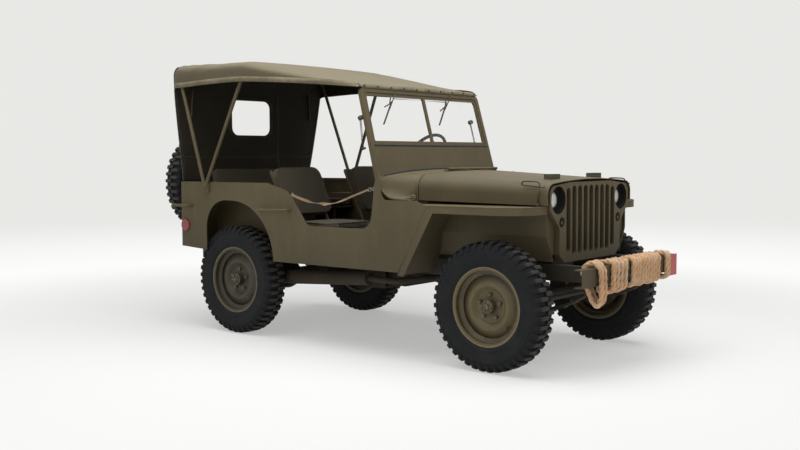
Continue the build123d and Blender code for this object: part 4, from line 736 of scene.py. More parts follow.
def top_line(x):
    """Points across the top at one place along the car, from the right hem to the left one."""
    a, b = TOP_ROWS[:2] if x > TOP_ROWS[1][0] else TOP_ROWS[1:]
    t = (x - a[0]) / (b[0] - a[0])
    row = [p + (q - p) * t for p, q in zip(a, b)]
    slack = sin(pi * t)
    half = section(row)
    line = [[-y, z] for y, z in reversed(half[1:])] + [[y, z] for y, z in half]
    for _ in range(2):
        triples = zip(line, line[1:], line[2:])
        line[1:-1] = [[(p[k] + 2 * q[k] + r[k]) / 4 for k in (0, 1)] for p, q, r in triples]
    for i, (y, z) in enumerate(line):
        v = abs(2 * i / TOP_ACROSS - 1)
        # between the hoops the roof sags and the hems ride up
        z += slack * (SAG * smooth(v, CORNER_TO, 1) - SAG * (1 - smooth(v, 0.1, 0.8)))
        # creases fan out from the rear corners
        to_corner = sqrt((x - REAR_X) ** 2 + (abs(y) - CORNER_Y) ** 2 + (z - CORNER_Z) ** 2)
        fan = sin(24 * atan2(z - FAN_Z, x - FAN_X))
        z -= FAN_DEEP * fan * smooth(v, 0.45, 0.8) * (1 - smooth(to_corner, 200, 640)) * smooth(-x, 900, 1000)
        # folds run slantwise between the windscreen's rail and the front hoop
        fold = sin((x * 0.35 + abs(y)) / 26 + 1.7 * sin(x / 210))
        puckered = FOLD_DEEP * fold * smooth(v, 0.25, 0.6) * (1 - smooth(v, 0.9, 1))
        z += puckered * smooth(-x, -20, 120) * smooth(x, -860, -700)
        # the cloth is a little uneven and its hem waves in and out
        z += UNEVEN * noise.noise(Vector((x / 160, y / 160, z / 160))) * slack
        hem_wave = HEM_WAVE * sin(x / 95 + 0.6 * sin(x / 47)) * smooth(v, 0.86, 1) * slack
        line[i] = [y * (1 + hem_wave / TOP_ROWS[1][1]), z]
    return line


stations = [FRONT_X - (FRONT_X - HOOP_X) * i / 42 for i in range(43)]
stations += [HOOP_X - (HOOP_X - TURN_X) * i / 30 for i in range(1, 31)]
rows = [(x, top_line(x)) for x in stations]
for i in range(1, 8):
    s = sin(pi / 2 * i / 7)
    sunk = 1 - sqrt(max(0, 1 - s * s))
    x = TURN_X - TOP_TURN * s
    flat = top_line(x)
    line = [[y * (1 - 0.03 * sunk * smooth(abs(y), 500, 740)), z - TOP_TURN * sunk * 0.55] for y, z in flat]
    rows.append((x, line))
turned_down = rows[-1][1]
for i in range(1, FLAP_ROWS + 1):
    s = i / FLAP_ROWS
    line = [[y, z + (min(z, FLAP_FOOT + 3 * sin(y / 60)) - z) * s] for y, z in turned_down]
    rows.append((REAR_X - 3 * sin(pi * s), line))

canvas_mesh = bmesh.new()
cloth_uv = canvas_mesh.loops.layers.uv.new("cloth")
grid, run = [], 0.0
for x, line in rows:
    verts = [canvas_mesh.verts.new(at(x, y, z)) for y, z in line]
    if grid:
        run += (verts[TOP_ACROSS // 2].co - grid[-1][0][TOP_ACROSS // 2].co).length
    across = [0.0]
    for a, b in zip(verts, verts[1:]):
        across.append(across[-1] + (b.co - a.co).length)
    grid.append((verts, run, across))
for (a, run_a, across_a), (b, run_b, across_b) in zip(grid, grid[1:]):
    for i in range(TOP_ACROSS):
        corners = [(a[i], run_a, across_a[i]), (b[i], run_b, across_b[i])]
        corners += [(b[i + 1], run_b, across_b[i + 1]), (a[i + 1], run_a, across_a[i + 1])]
        face = canvas_mesh.faces.new([corner[0] for corner in corners])
        for loop, (_, u, v) in zip(face.loops, corners):
            loop[cloth_uv].uv = (u, v - across_a[-1] / 2)
bmesh.ops.remove_doubles(canvas_mesh, verts=canvas_mesh.verts, dist=1e-5)
bmesh.ops.recalc_face_normals(canvas_mesh, faces=canvas_mesh.faces)
canvas_area = sum(face.calc_area() for face in canvas_mesh.faces)


def cabin_side_shade(look, inside, outside):
    """One colour on the faces turned to the cabin's middle, which is painted shade, and another on those turned
    away from it.
    """
    facing = look.node("ShaderNodeNewGeometry", None, None, 1)
    from_cabin = look.node("ShaderNodeVectorMath", {"operation": "SUBTRACT"}, {0: look.place, 1: at(*CABIN)})
    outward = look.node("ShaderNodeVectorMath", {"operation": "DOT_PRODUCT"}, {0: facing, 1: from_cabin}, 1)
    return look.mix(outward.between(-0.02, 0.02), inside, outside)


def duck(name, colour, paler_tone, stain, inner):
    """Cotton duck: a plain weave, lighter on faces turned up as painted light from above, with painted shade on
    the faces turned to the cabin, darker where it is creased.
    """
    look = Look(name, Sheen_Weight=0.15, Sheen_Roughness=0.5, Specular_IOR_Level=0.2)
    u, v, _ = look.axes(look.uv)
    weave = look.wave(u, WEAVE_PITCH) * look.wave(v, WEAVE_PITCH) + look.wave(u + v, 0.0031) * 0.3
    clouds, mottle = look.noise(2.6, 4, 0.6), look.noise(21, 4, 0.65)
    slubs = look.noise(1.0, 3, 0.6, look.joined(u * 700, v * 40, 0))
    _, _, up = look.axes(look.node("ShaderNodeNewGeometry", None, None, 1))
    lit_from_above = look.mix(up.between(0.2, 0.95) * 0.8 + clouds.between(0.3, 0.8) * 0.2, colour, paler_tone)
    marked = look.mix(mottle.between(0.55, 0.85) * 0.45, cabin_side_shade(look, inner, lit_from_above), stain)
    creases = look.noise(1.0, 5, 0.62, look.joined(u * 5, v * 12, clouds))
    return look.finish(
        look.mix(slubs.between(0.3, 0.8) * 0.14, marked, stain),
        0.86 + mottle * 0.1,
        look.bump(weave * 0.12 + creases * 2.2 + slubs * 0.15, 0.004, 0.5),
    )


# The second tone is painted light on the faces turned up; the fourth is painted shade on the faces turned to
# the cabin.
canvas = duck("canvas", tone(96, 87, 66), tone(132, 123, 99), tone(80, 72, 54), tone(46, 40, 29))
top = new_piece("canvas_cover", canvas_mesh, canvas, "chassis")
thicken = top.modifiers.new("cloth", "SOLIDIFY")
thicken.thickness, thicken.offset = TOP_THICK, -1
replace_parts(top, "canvas_top")


# ---- canvas hems, edge binding and studs -------------------------------------------------------------
# The side hems are turned up and stitched twice. Along the windscreen the edge is folded over the rail
# and held by a row of dark turn-button studs.
HEM_COLUMNS, HEM_DEEP, HEM_PROUD = 5, 0.034, 0.0012
hem_mesh = bmesh.new()
hem_uv = hem_mesh.loops.layers.uv.new("cloth")


def band(mesh, layer, strip_a, strip_b, out):
    """A flat band between two lines of points, standing a little proud of the cloth along out."""
    length = 0.0
    rims = []
    for i, (p, q) in enumerate(zip(strip_a, strip_b)):
        length += (p - strip_a[i - 1]).length if i else 0
        outward = out(i)
        ring = [p, q, q + outward * HEM_PROUD, p + outward * HEM_PROUD]
        rims.append(([mesh.verts.new(corner) for corner in ring], length, (q - p).length))
    for (a, la, wide), (b, lb, _) in zip(rims, rims[1:]):
        for k in range(4):
            face = mesh.faces.new((a[k], b[k], b[(k + 1) % 4], a[(k + 1) % 4]))
            this, other = wide * (k in (1, 2)), wide * (k in (0, 1))
            values = [(la, this), (lb, this), (lb, other), (la, other)]
            for loop, value in zip(face.loops, values):
                loop[layer].uv = value
    mesh.faces.new(rims[0][0])
    mesh.faces.new(list(reversed(rims[-1][0])))


for first, second, side in ((0, HEM_COLUMNS, -1), (TOP_ACROSS, TOP_ACROSS - HEM_COLUMNS, 1)):
    edge = [at(x, *line[first]) for x, line in rows[:-FLAP_ROWS]]
    inner = [at(x, *line[second]) for x, line in rows[:-FLAP_ROWS]]
    inner = [e + (i - e).normalized() * HEM_DEEP for e, i in zip(edge, inner)]

    def outwards(i, edge=edge, inner=inner, side=side):
        """Away from the car, square to the hem."""
        rise = (inner[i] - edge[i]).normalized()
        return Vector((0, side * rise.z, -side * rise.y)).normalized()

    band(hem_mesh, hem_uv, edge, inner, outwards)
SCREEN_TOP, SCREEN_LEAN = (38.7, 1597.8), radians(15.4)
FOLD_HALF, FOLD_OUT, FOLD_UP, FOLD_DOWN, FOLD_BACK, FOLD_THICK = 606, 0.0128, 0.019, 0.007, 0.014, 1.6
rail_out = Vector((cos(SCREEN_LEAN), 0, sin(SCREEN_LEAN)))
rail_up = Vector((-sin(SCREEN_LEAN), 0, cos(SCREEN_LEAN)))
screen_top = at(SCREEN_TOP[0], 0, SCREEN_TOP[1])
fold_high, fold_low = [], []
for i in range(61):
    y = (-FOLD_HALF + 2 * FOLD_HALF * i / 60) / 1000
    dip = 0.004 * smooth(abs(y), 0.56, 0.606) * 4
    hang = 0.0012 * sin(i * 0.9) + 0.0008 * sin(i * 2.3)
    base = screen_top + Vector((0, y, 0)) + rail_out * FOLD_OUT
    fold_high.append(base + rail_up * (FOLD_UP - dip))
    fold_low.append(base - rail_up * (FOLD_DOWN + hang - dip * 0.3) + rail_out * abs(hang))
band(hem_mesh, hem_uv, fold_low, fold_high, lambda i: rail_out * FOLD_THICK)
crest = [p - rail_out * FOLD_BACK for p in fold_high]
band(hem_mesh, hem_uv, fold_high, crest, lambda i: rail_up * FOLD_THICK)
bmesh.ops.recalc_face_normals(hem_mesh, faces=hem_mesh.faces)

hem_look = Look("canvas_hem", Sheen_Weight=0.15, Sheen_Roughness=0.5, Specular_IOR_Level=0.2)
hem_u, hem_v, _ = hem_look.axes(hem_look.uv)
THREADS, THREAD_SQUARED = (0.005, 0.028), 1.6e-6
low_row, high_row = (
    1 - ((hem_v - place) * (hem_v - place)).between(0, THREAD_SQUARED) for place in THREADS
)
stitches = (low_row + high_row) * hem_look.wave(hem_u, 0.007).between(0.35, 0.6)
hem_clouds = hem_look.noise(12, 4, 0.6)
hem_base = hem_look.mix(hem_clouds.between(0.3, 0.7), tone(108, 100, 78), tone(136, 126, 100))
hem_weave = hem_look.wave(hem_u, WEAVE_PITCH) * hem_look.wave(hem_v, WEAVE_PITCH)
# The darker tone on the faces turned to the cabin is painted shade.
hem_look.finish(
    cabin_side_shade(hem_look, tone(56, 50, 37), hem_look.mix(stitches * 0.6, hem_base, tone(176, 166, 138))),
    0.9,
    hem_look.bump(stitches + hem_weave * 0.3, 0.0012, 0.6),
)
hems = new_piece("canvas_hems", hem_mesh, hem_look.material, "chassis")
stud_metal = mottled("stud", 200, 0.4, 0.7, tone(34, 30, 24), tone(78, 70, 54), Metallic=0.7, Roughness=0.45)
studs = bmesh.new()
STUD_COUNT, STUD_HALF = 10, 0.575
for k in range(STUD_COUNT):
    y = -STUD_HALF + 2 * STUD_HALF * k / (STUD_COUNT - 1)
    spot = screen_top + Vector((0, y, 0)) + rail_out * 0.0165 + rail_up * 0.007
    base = Matrix.Translation(spot) @ rail_out.to_track_quat("Z", "Y").to_matrix().to_4x4()
    button = base @ Matrix.Translation((0, 0, 0.0045)) @ Matrix.Scale(0.35, 4, (0, 1, 0))
    for foot, head, high, place in ((0.0065, 0.0045, 0.005, base), (0.0062, 0.005, 0.004, button)):
        bmesh.ops.create_cone(
            studs, cap_ends=True, segments=16, radius1=foot, radius2=head, depth=high, matrix=place
        )
stud_row = new_piece("canvas_studs", studs, stud_metal, "chassis")


# ---- rear curtain ---------------------------------------------------------------------------------
# Duck like the top, buttoned up inside its rear edge and hanging outside the tub. It is narrower at its
# foot. The window is a hole with a stitched binding; a seam runs down left of it and one across below.
CURTAIN_X, CURTAIN_LOW, CURTAIN_TOP, CURTAIN_WIDE = -1567, 1017, 1808, 1470
CURTAIN_STEP, CURTAIN_ROWS = 9, 88
UNDER_HEM, HEM_SIDE, FOOT_SIDES = TOP_ROWS[2][2], 729, (-665, 585)
WINDOW_HALF, WINDOW_Y, WINDOW_Z, WINDOW_CORNER = (192.5, 131), -19, 1472, 62
curtain_mesh = bmesh.new()
curtain_uv = curtain_mesh.loops.layers.uv.new("cloth")


def curtain_edge(z, side):
    """Where the curtain's edge is at a height: inside the top down to its hem, then in towards its foot."""
    if z > UNDER_HEM:
        pairs = zip(section(TOP_ROWS[2]), section(TOP_ROWS[2])[1:])
        a, b = next((a, b) for a, b in pairs if b[1] <= z)
        return side * (a[0] + (b[0] - a[0]) * (a[1] - z) / (a[1] - b[1]) - 8)
    foot = FOOT_SIDES[side > 0]
    t = (UNDER_HEM - z) / (UNDER_HEM - CURTAIN_LOW)
    return side * HEM_SIDE + (foot - side * HEM_SIDE) * (t**1.15)


def curtain_bulge(y, z):
    """How far the cloth stands behind its plane, with slack folds between its fastenings."""
    high = smooth(z, 1100, 1400)
    folds = 3.2 * sin(y / 58 + 0.9 * sin(z / 140)) * smooth(z, 1016, 1160) * (1 - smooth(z, 1560, 1650))
    drape = 3.0 * sin((y + 0.8 * z) / 120) * (1 - high) * smooth(z, 1016, 1100)
    return folds * 0.8 + drape


def rounded(y, z):
    """How far a point is outside the window's rounded corners, in millimetres."""
    dy = max(0, abs(y - WINDOW_Y) - WINDOW_HALF[0] + WINDOW_CORNER)
    dz = max(0, abs(z - WINDOW_Z) - WINDOW_HALF[1] + WINDOW_CORNER)
    return sqrt(dy * dy + dz * dz) - WINDOW_CORNER


def behind(y, z, proud=0.0):
    """A place on the hanging cloth, or a few millimetres ahead of it."""
    return at(CURTAIN_X + curtain_bulge(y, z) * 0.6 + proud, y, z)


columns = int(CURTAIN_WIDE / CURTAIN_STEP)
levels = [CURTAIN_LOW + (CURTAIN_TOP - CURTAIN_LOW) * i / CURTAIN_ROWS for i in range(CURTAIN_ROWS + 1)]
lattice = []
for z in levels:
    right_edge, left_edge = curtain_edge(z, -1), curtain_edge(z, 1)
    lattice.append([(right_edge + (left_edge - right_edge) * i / columns, z) for i in range(columns + 1)])
for line in lattice:
    for i, (y, z) in enumerate(line):
        outside = rounded(y, z)
        if abs(outside) < CURTAIN_STEP * 0.55:
            flat_y, flat_z = [half - WINDOW_CORNER for half in WINDOW_HALF]
            py = WINDOW_Y + max(-flat_y, min(flat_y, y - WINDOW_Y))
            pz = WINDOW_Z + max(-flat_z, min(flat_z, z - WINDOW_Z))
            away = Vector((y - py, z - pz))
            if away.length > 1e-3:
                away *= WINDOW_CORNER / away.length
                line[i] = (py + away.x, pz + away.y)
points = [[curtain_mesh.verts.new(behind(y, z)) for y, z in line] for line in lattice]
for j in range(len(levels) - 1):
    for i in range(columns):
        spots = [lattice[j][i], lattice[j][i + 1], lattice[j + 1][i + 1], lattice[j + 1][i]]
        if all(rounded(*spot) < 0.5 for spot in spots):
            continue
        face = curtain_mesh.faces.new([points[j][i], points[j][i + 1], points[j + 1][i + 1], points[j + 1][i]])
        for loop, (y, z) in zip(face.loops, spots):
            loop[curtain_uv].uv = (z / 1000, y / 1000)
bmesh.ops.delete(curtain_mesh, geom=[v for v in curtain_mesh.verts if not v.link_faces], context="VERTS")
bmesh.ops.remove_doubles(curtain_mesh, verts=curtain_mesh.verts, dist=1e-5)
bmesh.ops.recalc_face_normals(curtain_mesh, faces=curtain_mesh.faces)
curtain_area = sum(face.calc_area() for face in curtain_mesh.faces)
curtain = new_piece("rear_curtain_cloth", curtain_mesh, canvas, "chassis")
thicken = curtain.modifiers.new("cloth", "SOLIDIFY")
thicken.thickness, thicken.offset = 0.002, 0
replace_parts(curtain, "rear_curtain")

SEAM_DOWN, SEAM_ACROSS, SEAM_PROUD, EDGE_HEM = (241, 263), (1174, 1190), 1.2, 26
seam_mesh = bmesh.new()
seam_layer = seam_mesh.loops.layers.uv.new("cloth")
outline, wider = [], []
corners = ((1, 1, 0), (-1, 1, pi / 2), (-1, -1, pi), (1, -1, 3 * pi / 2))
for sy, sz, start in corners:
    for k in range(9):
        angle = start + pi / 2 * k / 8
        for ring, radius in ((outline, WINDOW_CORNER - 3), (wider, WINDOW_CORNER + 24)):
            y = WINDOW_Y + sy * (WINDOW_HALF[0] - WINDOW_CORNER) + radius * cos(angle)
            z = WINDOW_Z + sz * (WINDOW_HALF[1] - WINDOW_CORNER) + radius * sin(angle)
            ring.append((y, z))
seam_from, seam_to = (curtain_edge(sum(SEAM_ACROSS) / 2, side) for side in (-1, 1))
seam_ys = [seam_from + (seam_to - seam_from) * i / 80 for i in range(81)]
down_seam = [[(y, z) for z in levels[2:72]] for y in SEAM_DOWN]
across_seam = [[(y, z) for y in seam_ys] for z in SEAM_ACROSS]
edge_levels = [z for z in levels if z < 1650]
right_hem, left_hem = (
    [[(curtain_edge(z, side) - side * inset, z) for z in edge_levels] for inset in (0, EDGE_HEM)]
    for side in (-1, 1)
)
binding = [ring + ring[:1] for ring in (outline, wider)]
for out in (1, -1):
    for pair, thick in ((binding, 1.3), (down_seam, 1), (across_seam, 1), (right_hem, 1), (left_hem, 1)):
        a, b = ([behind(y, z, SEAM_PROUD * out) for y, z in line] for line in pair)
        band(seam_mesh, seam_layer, a, b, lambda i, to=Vector((out, 0, 0)) * thick: to)
bmesh.ops.recalc_face_normals(seam_mesh, faces=seam_mesh.faces)
seams = new_piece("curtain_seams", seam_mesh, hem_look.material, "chassis")


# ---- seats ------------------------------------------------------------------------------------------
# Canvas-covered pads stuffed with hair: a seat pad and a raked back on each front frame, and a bench with
# a low back at the rear. Each cover has a boxed side between two piped seams and is drawn in along them.
# The second tone is painted light on the faces turned up; the fourth is painted shade on the faces turned to
# the cabin.
cover = duck("seat_canvas", tone(86, 80, 66), tone(108, 100, 82), tone(66, 60, 50), tone(84, 78, 64))
piping_look = Look("piping", Specular_IOR_Level=0.2)
piping_dirt = piping_look.noise(60, 3)
piping_look.finish(
    piping_look.mix(piping_dirt.between(0.3, 0.7), tone(78, 72, 58), tone(104, 96, 78)), 0.9,
    piping_look.bump(piping_look.noise(900, 2), 0.0006, 0.5),
)  # fmt: skip
PAD_GRID, PIPING_R, DRAWN_IN, SQUARENESS = 26, 0.0042, 0.006, 0.34
CROWN_POWER, LUMP_HIGH, SIDE_BULGE = 2.6, 0.0022, 0.0045


def sign_of(value):
    return -1 if value < 0 else 1


def cushion(name, place, size, corner, crown):
    """A stuffed pad: local x and y are its length and width, z its thickness; corner is its plan radius."""
    half = [side / 2 for side in size]
    edge = min(half[2] * 0.8, 0.03)
    block = bmesh.new()
    bmesh.ops.create_cube(block, size=2)
    bmesh.ops.subdivide_edges(block, edges=block.edges, cuts=PAD_GRID, use_grid_fill=True)
    for v in block.verts:
        u, w, t = v.co
        x, y = u * half[0], w * half[1]
        over_x, over_y = abs(x) - half[0] + corner, abs(y) - half[1] + corner
        if over_x > 0 and over_y > 0:
            reach = max(over_x, over_y)
            away = Vector((over_x, over_y)).normalized() * reach
            x = sign_of(x) * (half[0] - corner + away.x)
            y = sign_of(y) * (half[1] - corner + away.y)
        rim = max(abs(u), abs(w))
        side_wall = rim > 0.999
        waist = 0.5 + 0.5 * cos(pi * t)
        drawn = 1 - 0.012 * (1 - abs(t)) if side_wall else 1
        pull_x = DRAWN_IN * (1 - w * w) * abs(u) ** 4
        pull_y = DRAWN_IN * (1 - u * u) * abs(w) ** 4
        x, y = x * drawn - sign_of(x) * pull_x, y * drawn - sign_of(y) * pull_y
        swell = crown * (1 - abs(u) ** CROWN_POWER) * (1 - abs(w) ** CROWN_POWER)
        lumps = LUMP_HIGH * noise.noise(Vector((x * 14 + 3, y * 14, t * 2 + len(name))))
        z = t * (half[2] - crown) + (sign_of(t) * swell if abs(t) > 0.999 else 0) + lumps * (1 - rim**6)
        if side_wall:
            bulge = SIDE_BULGE * waist * (1 + 0.4 * sin(9 * (u + w)))
            x += sign_of(u) * bulge * (abs(u) > 0.999)
            y += sign_of(w) * bulge * (abs(w) > 0.999)
        v.co = place @ Vector((x, y, z))
    bmesh.ops.recalc_face_normals(block, faces=block.faces)
    pad = new_piece(name, block, cover, "chassis")
    pad.data.set_sharp_from_angle(angle=1.2)
    rims = bmesh.new()
    for t in (-1, 1):
        ring = []
        for k in range(65):
            angle = 2 * pi * k / 64
            reach_x, reach_y = cos(angle), sin(angle)
            x = sign_of(reach_x) * abs(reach_x) ** SQUARENESS * (half[0] - 0.001)
            y = sign_of(reach_y) * abs(reach_y) ** SQUARENESS * (half[1] - 0.001)
            over_x, over_y = abs(x) - half[0] + corner, abs(y) - half[1] + corner
            if over_x > 0 and over_y > 0:
                away = Vector((over_x, over_y))
                away *= (corner - 0.001) / max(away.length, corner - 0.001)
                x = sign_of(x) * (half[0] - corner + away.x)
                y = sign_of(y) * (half[1] - corner + away.y)
            pull_x = DRAWN_IN * (1 - (y / half[1]) ** 2) * min(1, abs(x) / half[0]) ** 4
            pull_y = DRAWN_IN * (1 - (x / half[0]) ** 2) * min(1, abs(y) / half[1]) ** 4
            x, y = x - sign_of(x) * pull_x, y - sign_of(y) * pull_y
            ring.append(place @ Vector((x, y, t * (half[2] - crown - 0.001))))
        along(ring, PIPING_R, 8, rims)
    new_piece(name + "_piping", rims, piping_look.material, "chassis")
    return pad


def raked(foot, head):
    """The place of a back pad between two points of its slope: its length lies along the slope."""
    slope, across = (head - foot).normalized(), Vector((0, 1, 0))
    lean = Matrix((slope, across, slope.cross(across))).transposed().to_4x4()
    return Matrix.Translation((foot + head) / 2) @ lean


SEAT_SIDE_Y, SEAT_SPREAD, SEAT_PAD, SEAT_BACK = 362, 1.035, (0.336, 0.392, 0.066), (0.338, 0.418, 0.064)
pads = []
for name, y in (("right", -SEAT_SIDE_Y), ("left", SEAT_SIDE_Y)):
    flat_place = Matrix.Translation(at(-406, y, 736.5))
    pads.append(cushion("seat_pad_" + name, flat_place, SEAT_PAD, 0.045, 0.011))
    slope = at(-610.5, y * SEAT_SPREAD, 793), at(-756, y * SEAT_SPREAD, 1110)
    cushion("seat_back_" + name, raked(*slope), SEAT_BACK, 0.075, 0.008)
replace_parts(pads[0], "front_cushions")

BENCH_PAD, BENCH_BACK = (0.374, 0.968, 0.062), (0.208, 0.966, 0.05)
BENCH_BOARD, BENCH_TUBE_R = ((-1380, -487, 801), (-1000, 487, 815)), 0.010
LEG_Y, LEG_XS, LEG_ZS = 300, (-1360, -1020), (620, 802)
RAIL_Y, RAIL = 440, ((-1375, 806), (-1402, 880), (-1425, 960), (-1445, 1040))
cushion("rear_bench_pad", Matrix.Translation(at(-1190, 0, 848)), BENCH_PAD, 0.04, 0.012)
cushion("rear_bench_back", raked(at(-1412, 0, 888), at(-1467, 0, 1098)), BENCH_BACK, 0.04, 0.006)
bench_steel = bmesh.new()
low, high = (at(*corner) for corner in BENCH_BOARD)
board = bmesh.ops.create_cube(bench_steel, size=1)["verts"]
bmesh.ops.scale(bench_steel, vec=high - low, verts=board)
bmesh.ops.translate(bench_steel, vec=(high + low) / 2, verts=board)
for s in (-1, 1):
    for x in LEG_XS:
        along([at(x, s * LEG_Y, z) for z in LEG_ZS], BENCH_TUBE_R, 16, bench_steel)
    rail = [at(x, s * RAIL_Y, z) for x, z in RAIL]
    along(spline_points("bench_rail", rail), BENCH_TUBE_R, 16, bench_steel)
bench_frame = new_piece("rear_bench_frame", bench_steel, olive, "chassis")
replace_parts(bench_frame, "rear_seat")


# ---- safety straps across the step-ins --------------------------------------------------------------
# Cotton webbing 33 mm wide that hangs in a shallow curve inside the opening. It has twisted about itself.
# Its front end is sewn round a ring with a steel snap hook, and its rear end is riveted to the tub.
STRAP_Y = 713.7
STRAP_ROUTE = [(-440, 946), (-344, 912), (-250, 895), (-169, 890), (-90, 896), (1, 922), (110, 962), (205, 987)]
STRAP_HALF, STRAP_THICK, STRAP_SAG_IN = 0.0165, 0.0022, 0.014
STRAP_SECTION = [(-1, -1), (-0.5, -1.4), (0, -1.6), (0.5, -1.4), (1, -1),
                 (1, 1), (0.5, 0.6), (0, 0.4), (-0.5, 0.6), (-1, 1)]  # fmt: skip
TWISTS = ((1.35, 0.12, 0.3), (-2.5, 0.34, 0.5), (1.9, 0.55, 0.72), (-0.75, 0.82, 0.95))
RING_R, RING_WIRE_R, HOOK_R, RIVET_SPREAD = 0.011, 0.002, 0.0028, 0.009
HOOK = [(0.014, 0.003), (0.024, 0.006), (0.036, 0.011), (0.046, 0.012), (0.050, 0.004),
        (0.044, -0.003), (0.034, -0.003), (0.024, 0.001)]  # fmt: skip
webbing = Look("webbing", Sheen_Weight=0.2, Specular_IOR_Level=0.2)
web_u, web_v, _ = webbing.axes(webbing.uv)
herringbone = webbing.wave(web_u + (web_v * 2 - 0.03).math("ABSOLUTE"), 0.0042)
edge_lines = ((web_v - 0.0165) * (web_v - 0.0165)).between(0.00016, 0.00022)
soil = webbing.noise(16, 4, 0.65)
webbing.finish(
    webbing.mix(edge_lines * 0.35 + soil.between(0.42, 0.75) * 0.5, tone(186, 158, 122), tone(124, 98, 70)),
    0.92,
    webbing.bump(herringbone + soil, 0.0012, 0.6),
)
steel = Look("bright_steel", Metallic=0.9, Roughness=0.35)
scuffs = steel.noise(150, 3)
steel.finish(steel.mix(scuffs.between(0.4, 0.7), tone(120, 116, 104), tone(168, 164, 152)), 0.28 + scuffs * 0.3)
hardware = bmesh.new()
for side in (-1, 1):
    lay_y = side * STRAP_Y
    line = spline_points("strap_route", [at(x, lay_y, z) for x, z in STRAP_ROUTE])
    strap = bmesh.new()
    strap_uv = strap.loops.layers.uv.new("cloth")
    total = sum((b - a).length for a, b in zip(line, line[1:]))
    gone, before = 0.0, None
    for i, place in enumerate(line):
        ahead_of = (line[min(i + 1, len(line) - 1)] - line[max(i - 1, 0)]).normalized()
        gone += (place - line[i - 1]).length if i else 0
        share = gone / total
        twist = 0.0
        for angle, low, high in TWISTS:
            twist += angle * smooth(share, low, high)
        wide = Matrix.Rotation(twist, 3, ahead_of) @ ahead_of.cross(Vector((0, 1, 0))).normalized()
        thin = ahead_of.cross(wide).normalized()
        gather = 0.5 + 0.4 * smooth(share, 0.12, 0.28) - 0.55 * smooth(share, 0.36, 0.5)
        sag_in = -side * STRAP_SAG_IN * smooth(share, 0.05, 0.2) * (1 - smooth(share, 0.86, 0.98))
        inward = Vector((0, sag_in, 0))
        ring = []
        for a, b in STRAP_SECTION:
            corner = place + inward + wide * STRAP_HALF * gather * a + thin * STRAP_THICK / 2 * b
            ring.append(strap.verts.new(corner))
        if before:
            count = len(ring)
            for k in range(count):
                beside = (k + 1) % count
                face = strap.faces.new((before[0][k], ring[k], ring[beside], before[0][beside]))
                values = [(before[1], k), (gone, k), (gone, k + 1), (before[1], k + 1)]
                for loop, (u, v) in zip(face.loops, values):
                    loop[strap_uv].uv = (u, 2 * STRAP_HALF * min(v, count - v) / 4)
        else:
            strap.faces.new(ring)
        before = (ring, gone)
    strap.faces.new(list(reversed(before[0])))
    bmesh.ops.recalc_face_normals(strap, faces=strap.faces)
    name = "right" if side < 0 else "left"
    strap = new_piece("door_strap_" + name, strap, webbing.material, "chassis")
    if side < 0:
        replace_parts(strap, "door_straps")
    sewn_end = line[-1]
    angles = [2 * pi * k / 24 for k in range(25)]
    ring_line = [sewn_end + Vector((0.006 + RING_R * cos(a), 0, RING_R * sin(a))) for a in angles]
    along(ring_line, RING_WIRE_R, 8, hardware)
    along([sewn_end + Vector((dx, side * 0.001, dz)) for dx, dz in HOOK], HOOK_R, 8, hardware)
    for dz in (-RIVET_SPREAD, RIVET_SPREAD):
        spot = line[0] + Vector((0.008, -side * 0.003, dz))
        stand = Matrix.Translation(spot) @ Matrix.Rotation(side * pi / 2, 4, "X")
        bmesh.ops.create_cone(
            hardware, cap_ends=True, segments=14, radius1=0.005, radius2=0.003, depth=0.003, matrix=stand
        )
new_piece("strap_hardware", hardware, steel.material, "chassis")


# ---- lamps in the grille -----------------------------------------------------------------------------
# Each head lamp is a glass lens in a dark rim at the bottom of a short painted well behind the grille. The
# lens's near-white colour is a painted reflection and the rim's near-black is painted shade.
# The small lamps below have a dark cover with a little grey window. All are clipped to the lamp shells.
def face_on(mesh, profile, x, y, z, steps=48):
    """A lathe piece about an axis along X; the profile holds (radius, distance forward)."""
    turned = bmesh.new()
    lathe(turned, profile, steps)
    place = Matrix.Translation(at(x, y, z)) @ Matrix.Rotation(-pi / 2, 4, "Z")
    bmesh.ops.transform(turned, matrix=place, verts=turned.verts)
    held = stored("turned", turned)
    mesh.from_mesh(held)
    bpy.data.meshes.remove(held)


LAMP_PLACE, SMALL_LAMP_PLACE = (367, 938), (330, 815)
GRILLE_FRONT, LAMP_SUNK, SMALL_LAMP_SUNK = 1280, 41, 5
LENS_PROFILE = [(0.0001, 0.011), (0.02, 0.0098), (0.038, 0.006), (0.048, 0.001), (0.0001, 0.001)]
RIM = [(0.0485, 0.002), (0.050, 0.006), (0.056, 0.007), (0.068, 0.005), (0.0735, 0.012), (0.0745, 0.034),
       (0.0764, 0.034), (0.0764, 0.0005), (0.0485, 0.0005), (0.0485, 0.002)]  # fmt: skip
SMALL_COVER = [(0.0001, 0.004), (0.024, 0.003), (0.0275, 0.0), (0.0275, -0.004), (0.0001, -0.004)]
SMALL_WINDOW = [(0.0001, 0.0075), (0.007, 0.0068), (0.010, 0.004), (0.0001, 0.004)]
lens_glass = Look("lens_glass", Roughness=0.16, Coat_Weight=0.8, Coat_Roughness=0.05)
_, lens_y, _ = lens_glass.axes()
flutes = lens_glass.wave(lens_y, 0.006)
reflection_patches = lens_glass.noise(40, 3)
# The lens's near-white colour, drifting between two tones, is a painted reflection.
lens_glass.finish(
    lens_glass.mix(reflection_patches.between(0.3, 0.7), tone(236, 234, 228), tone(252, 252, 248)),
    None,
    lens_glass.bump(flutes, 0.0008, 0.5),
)
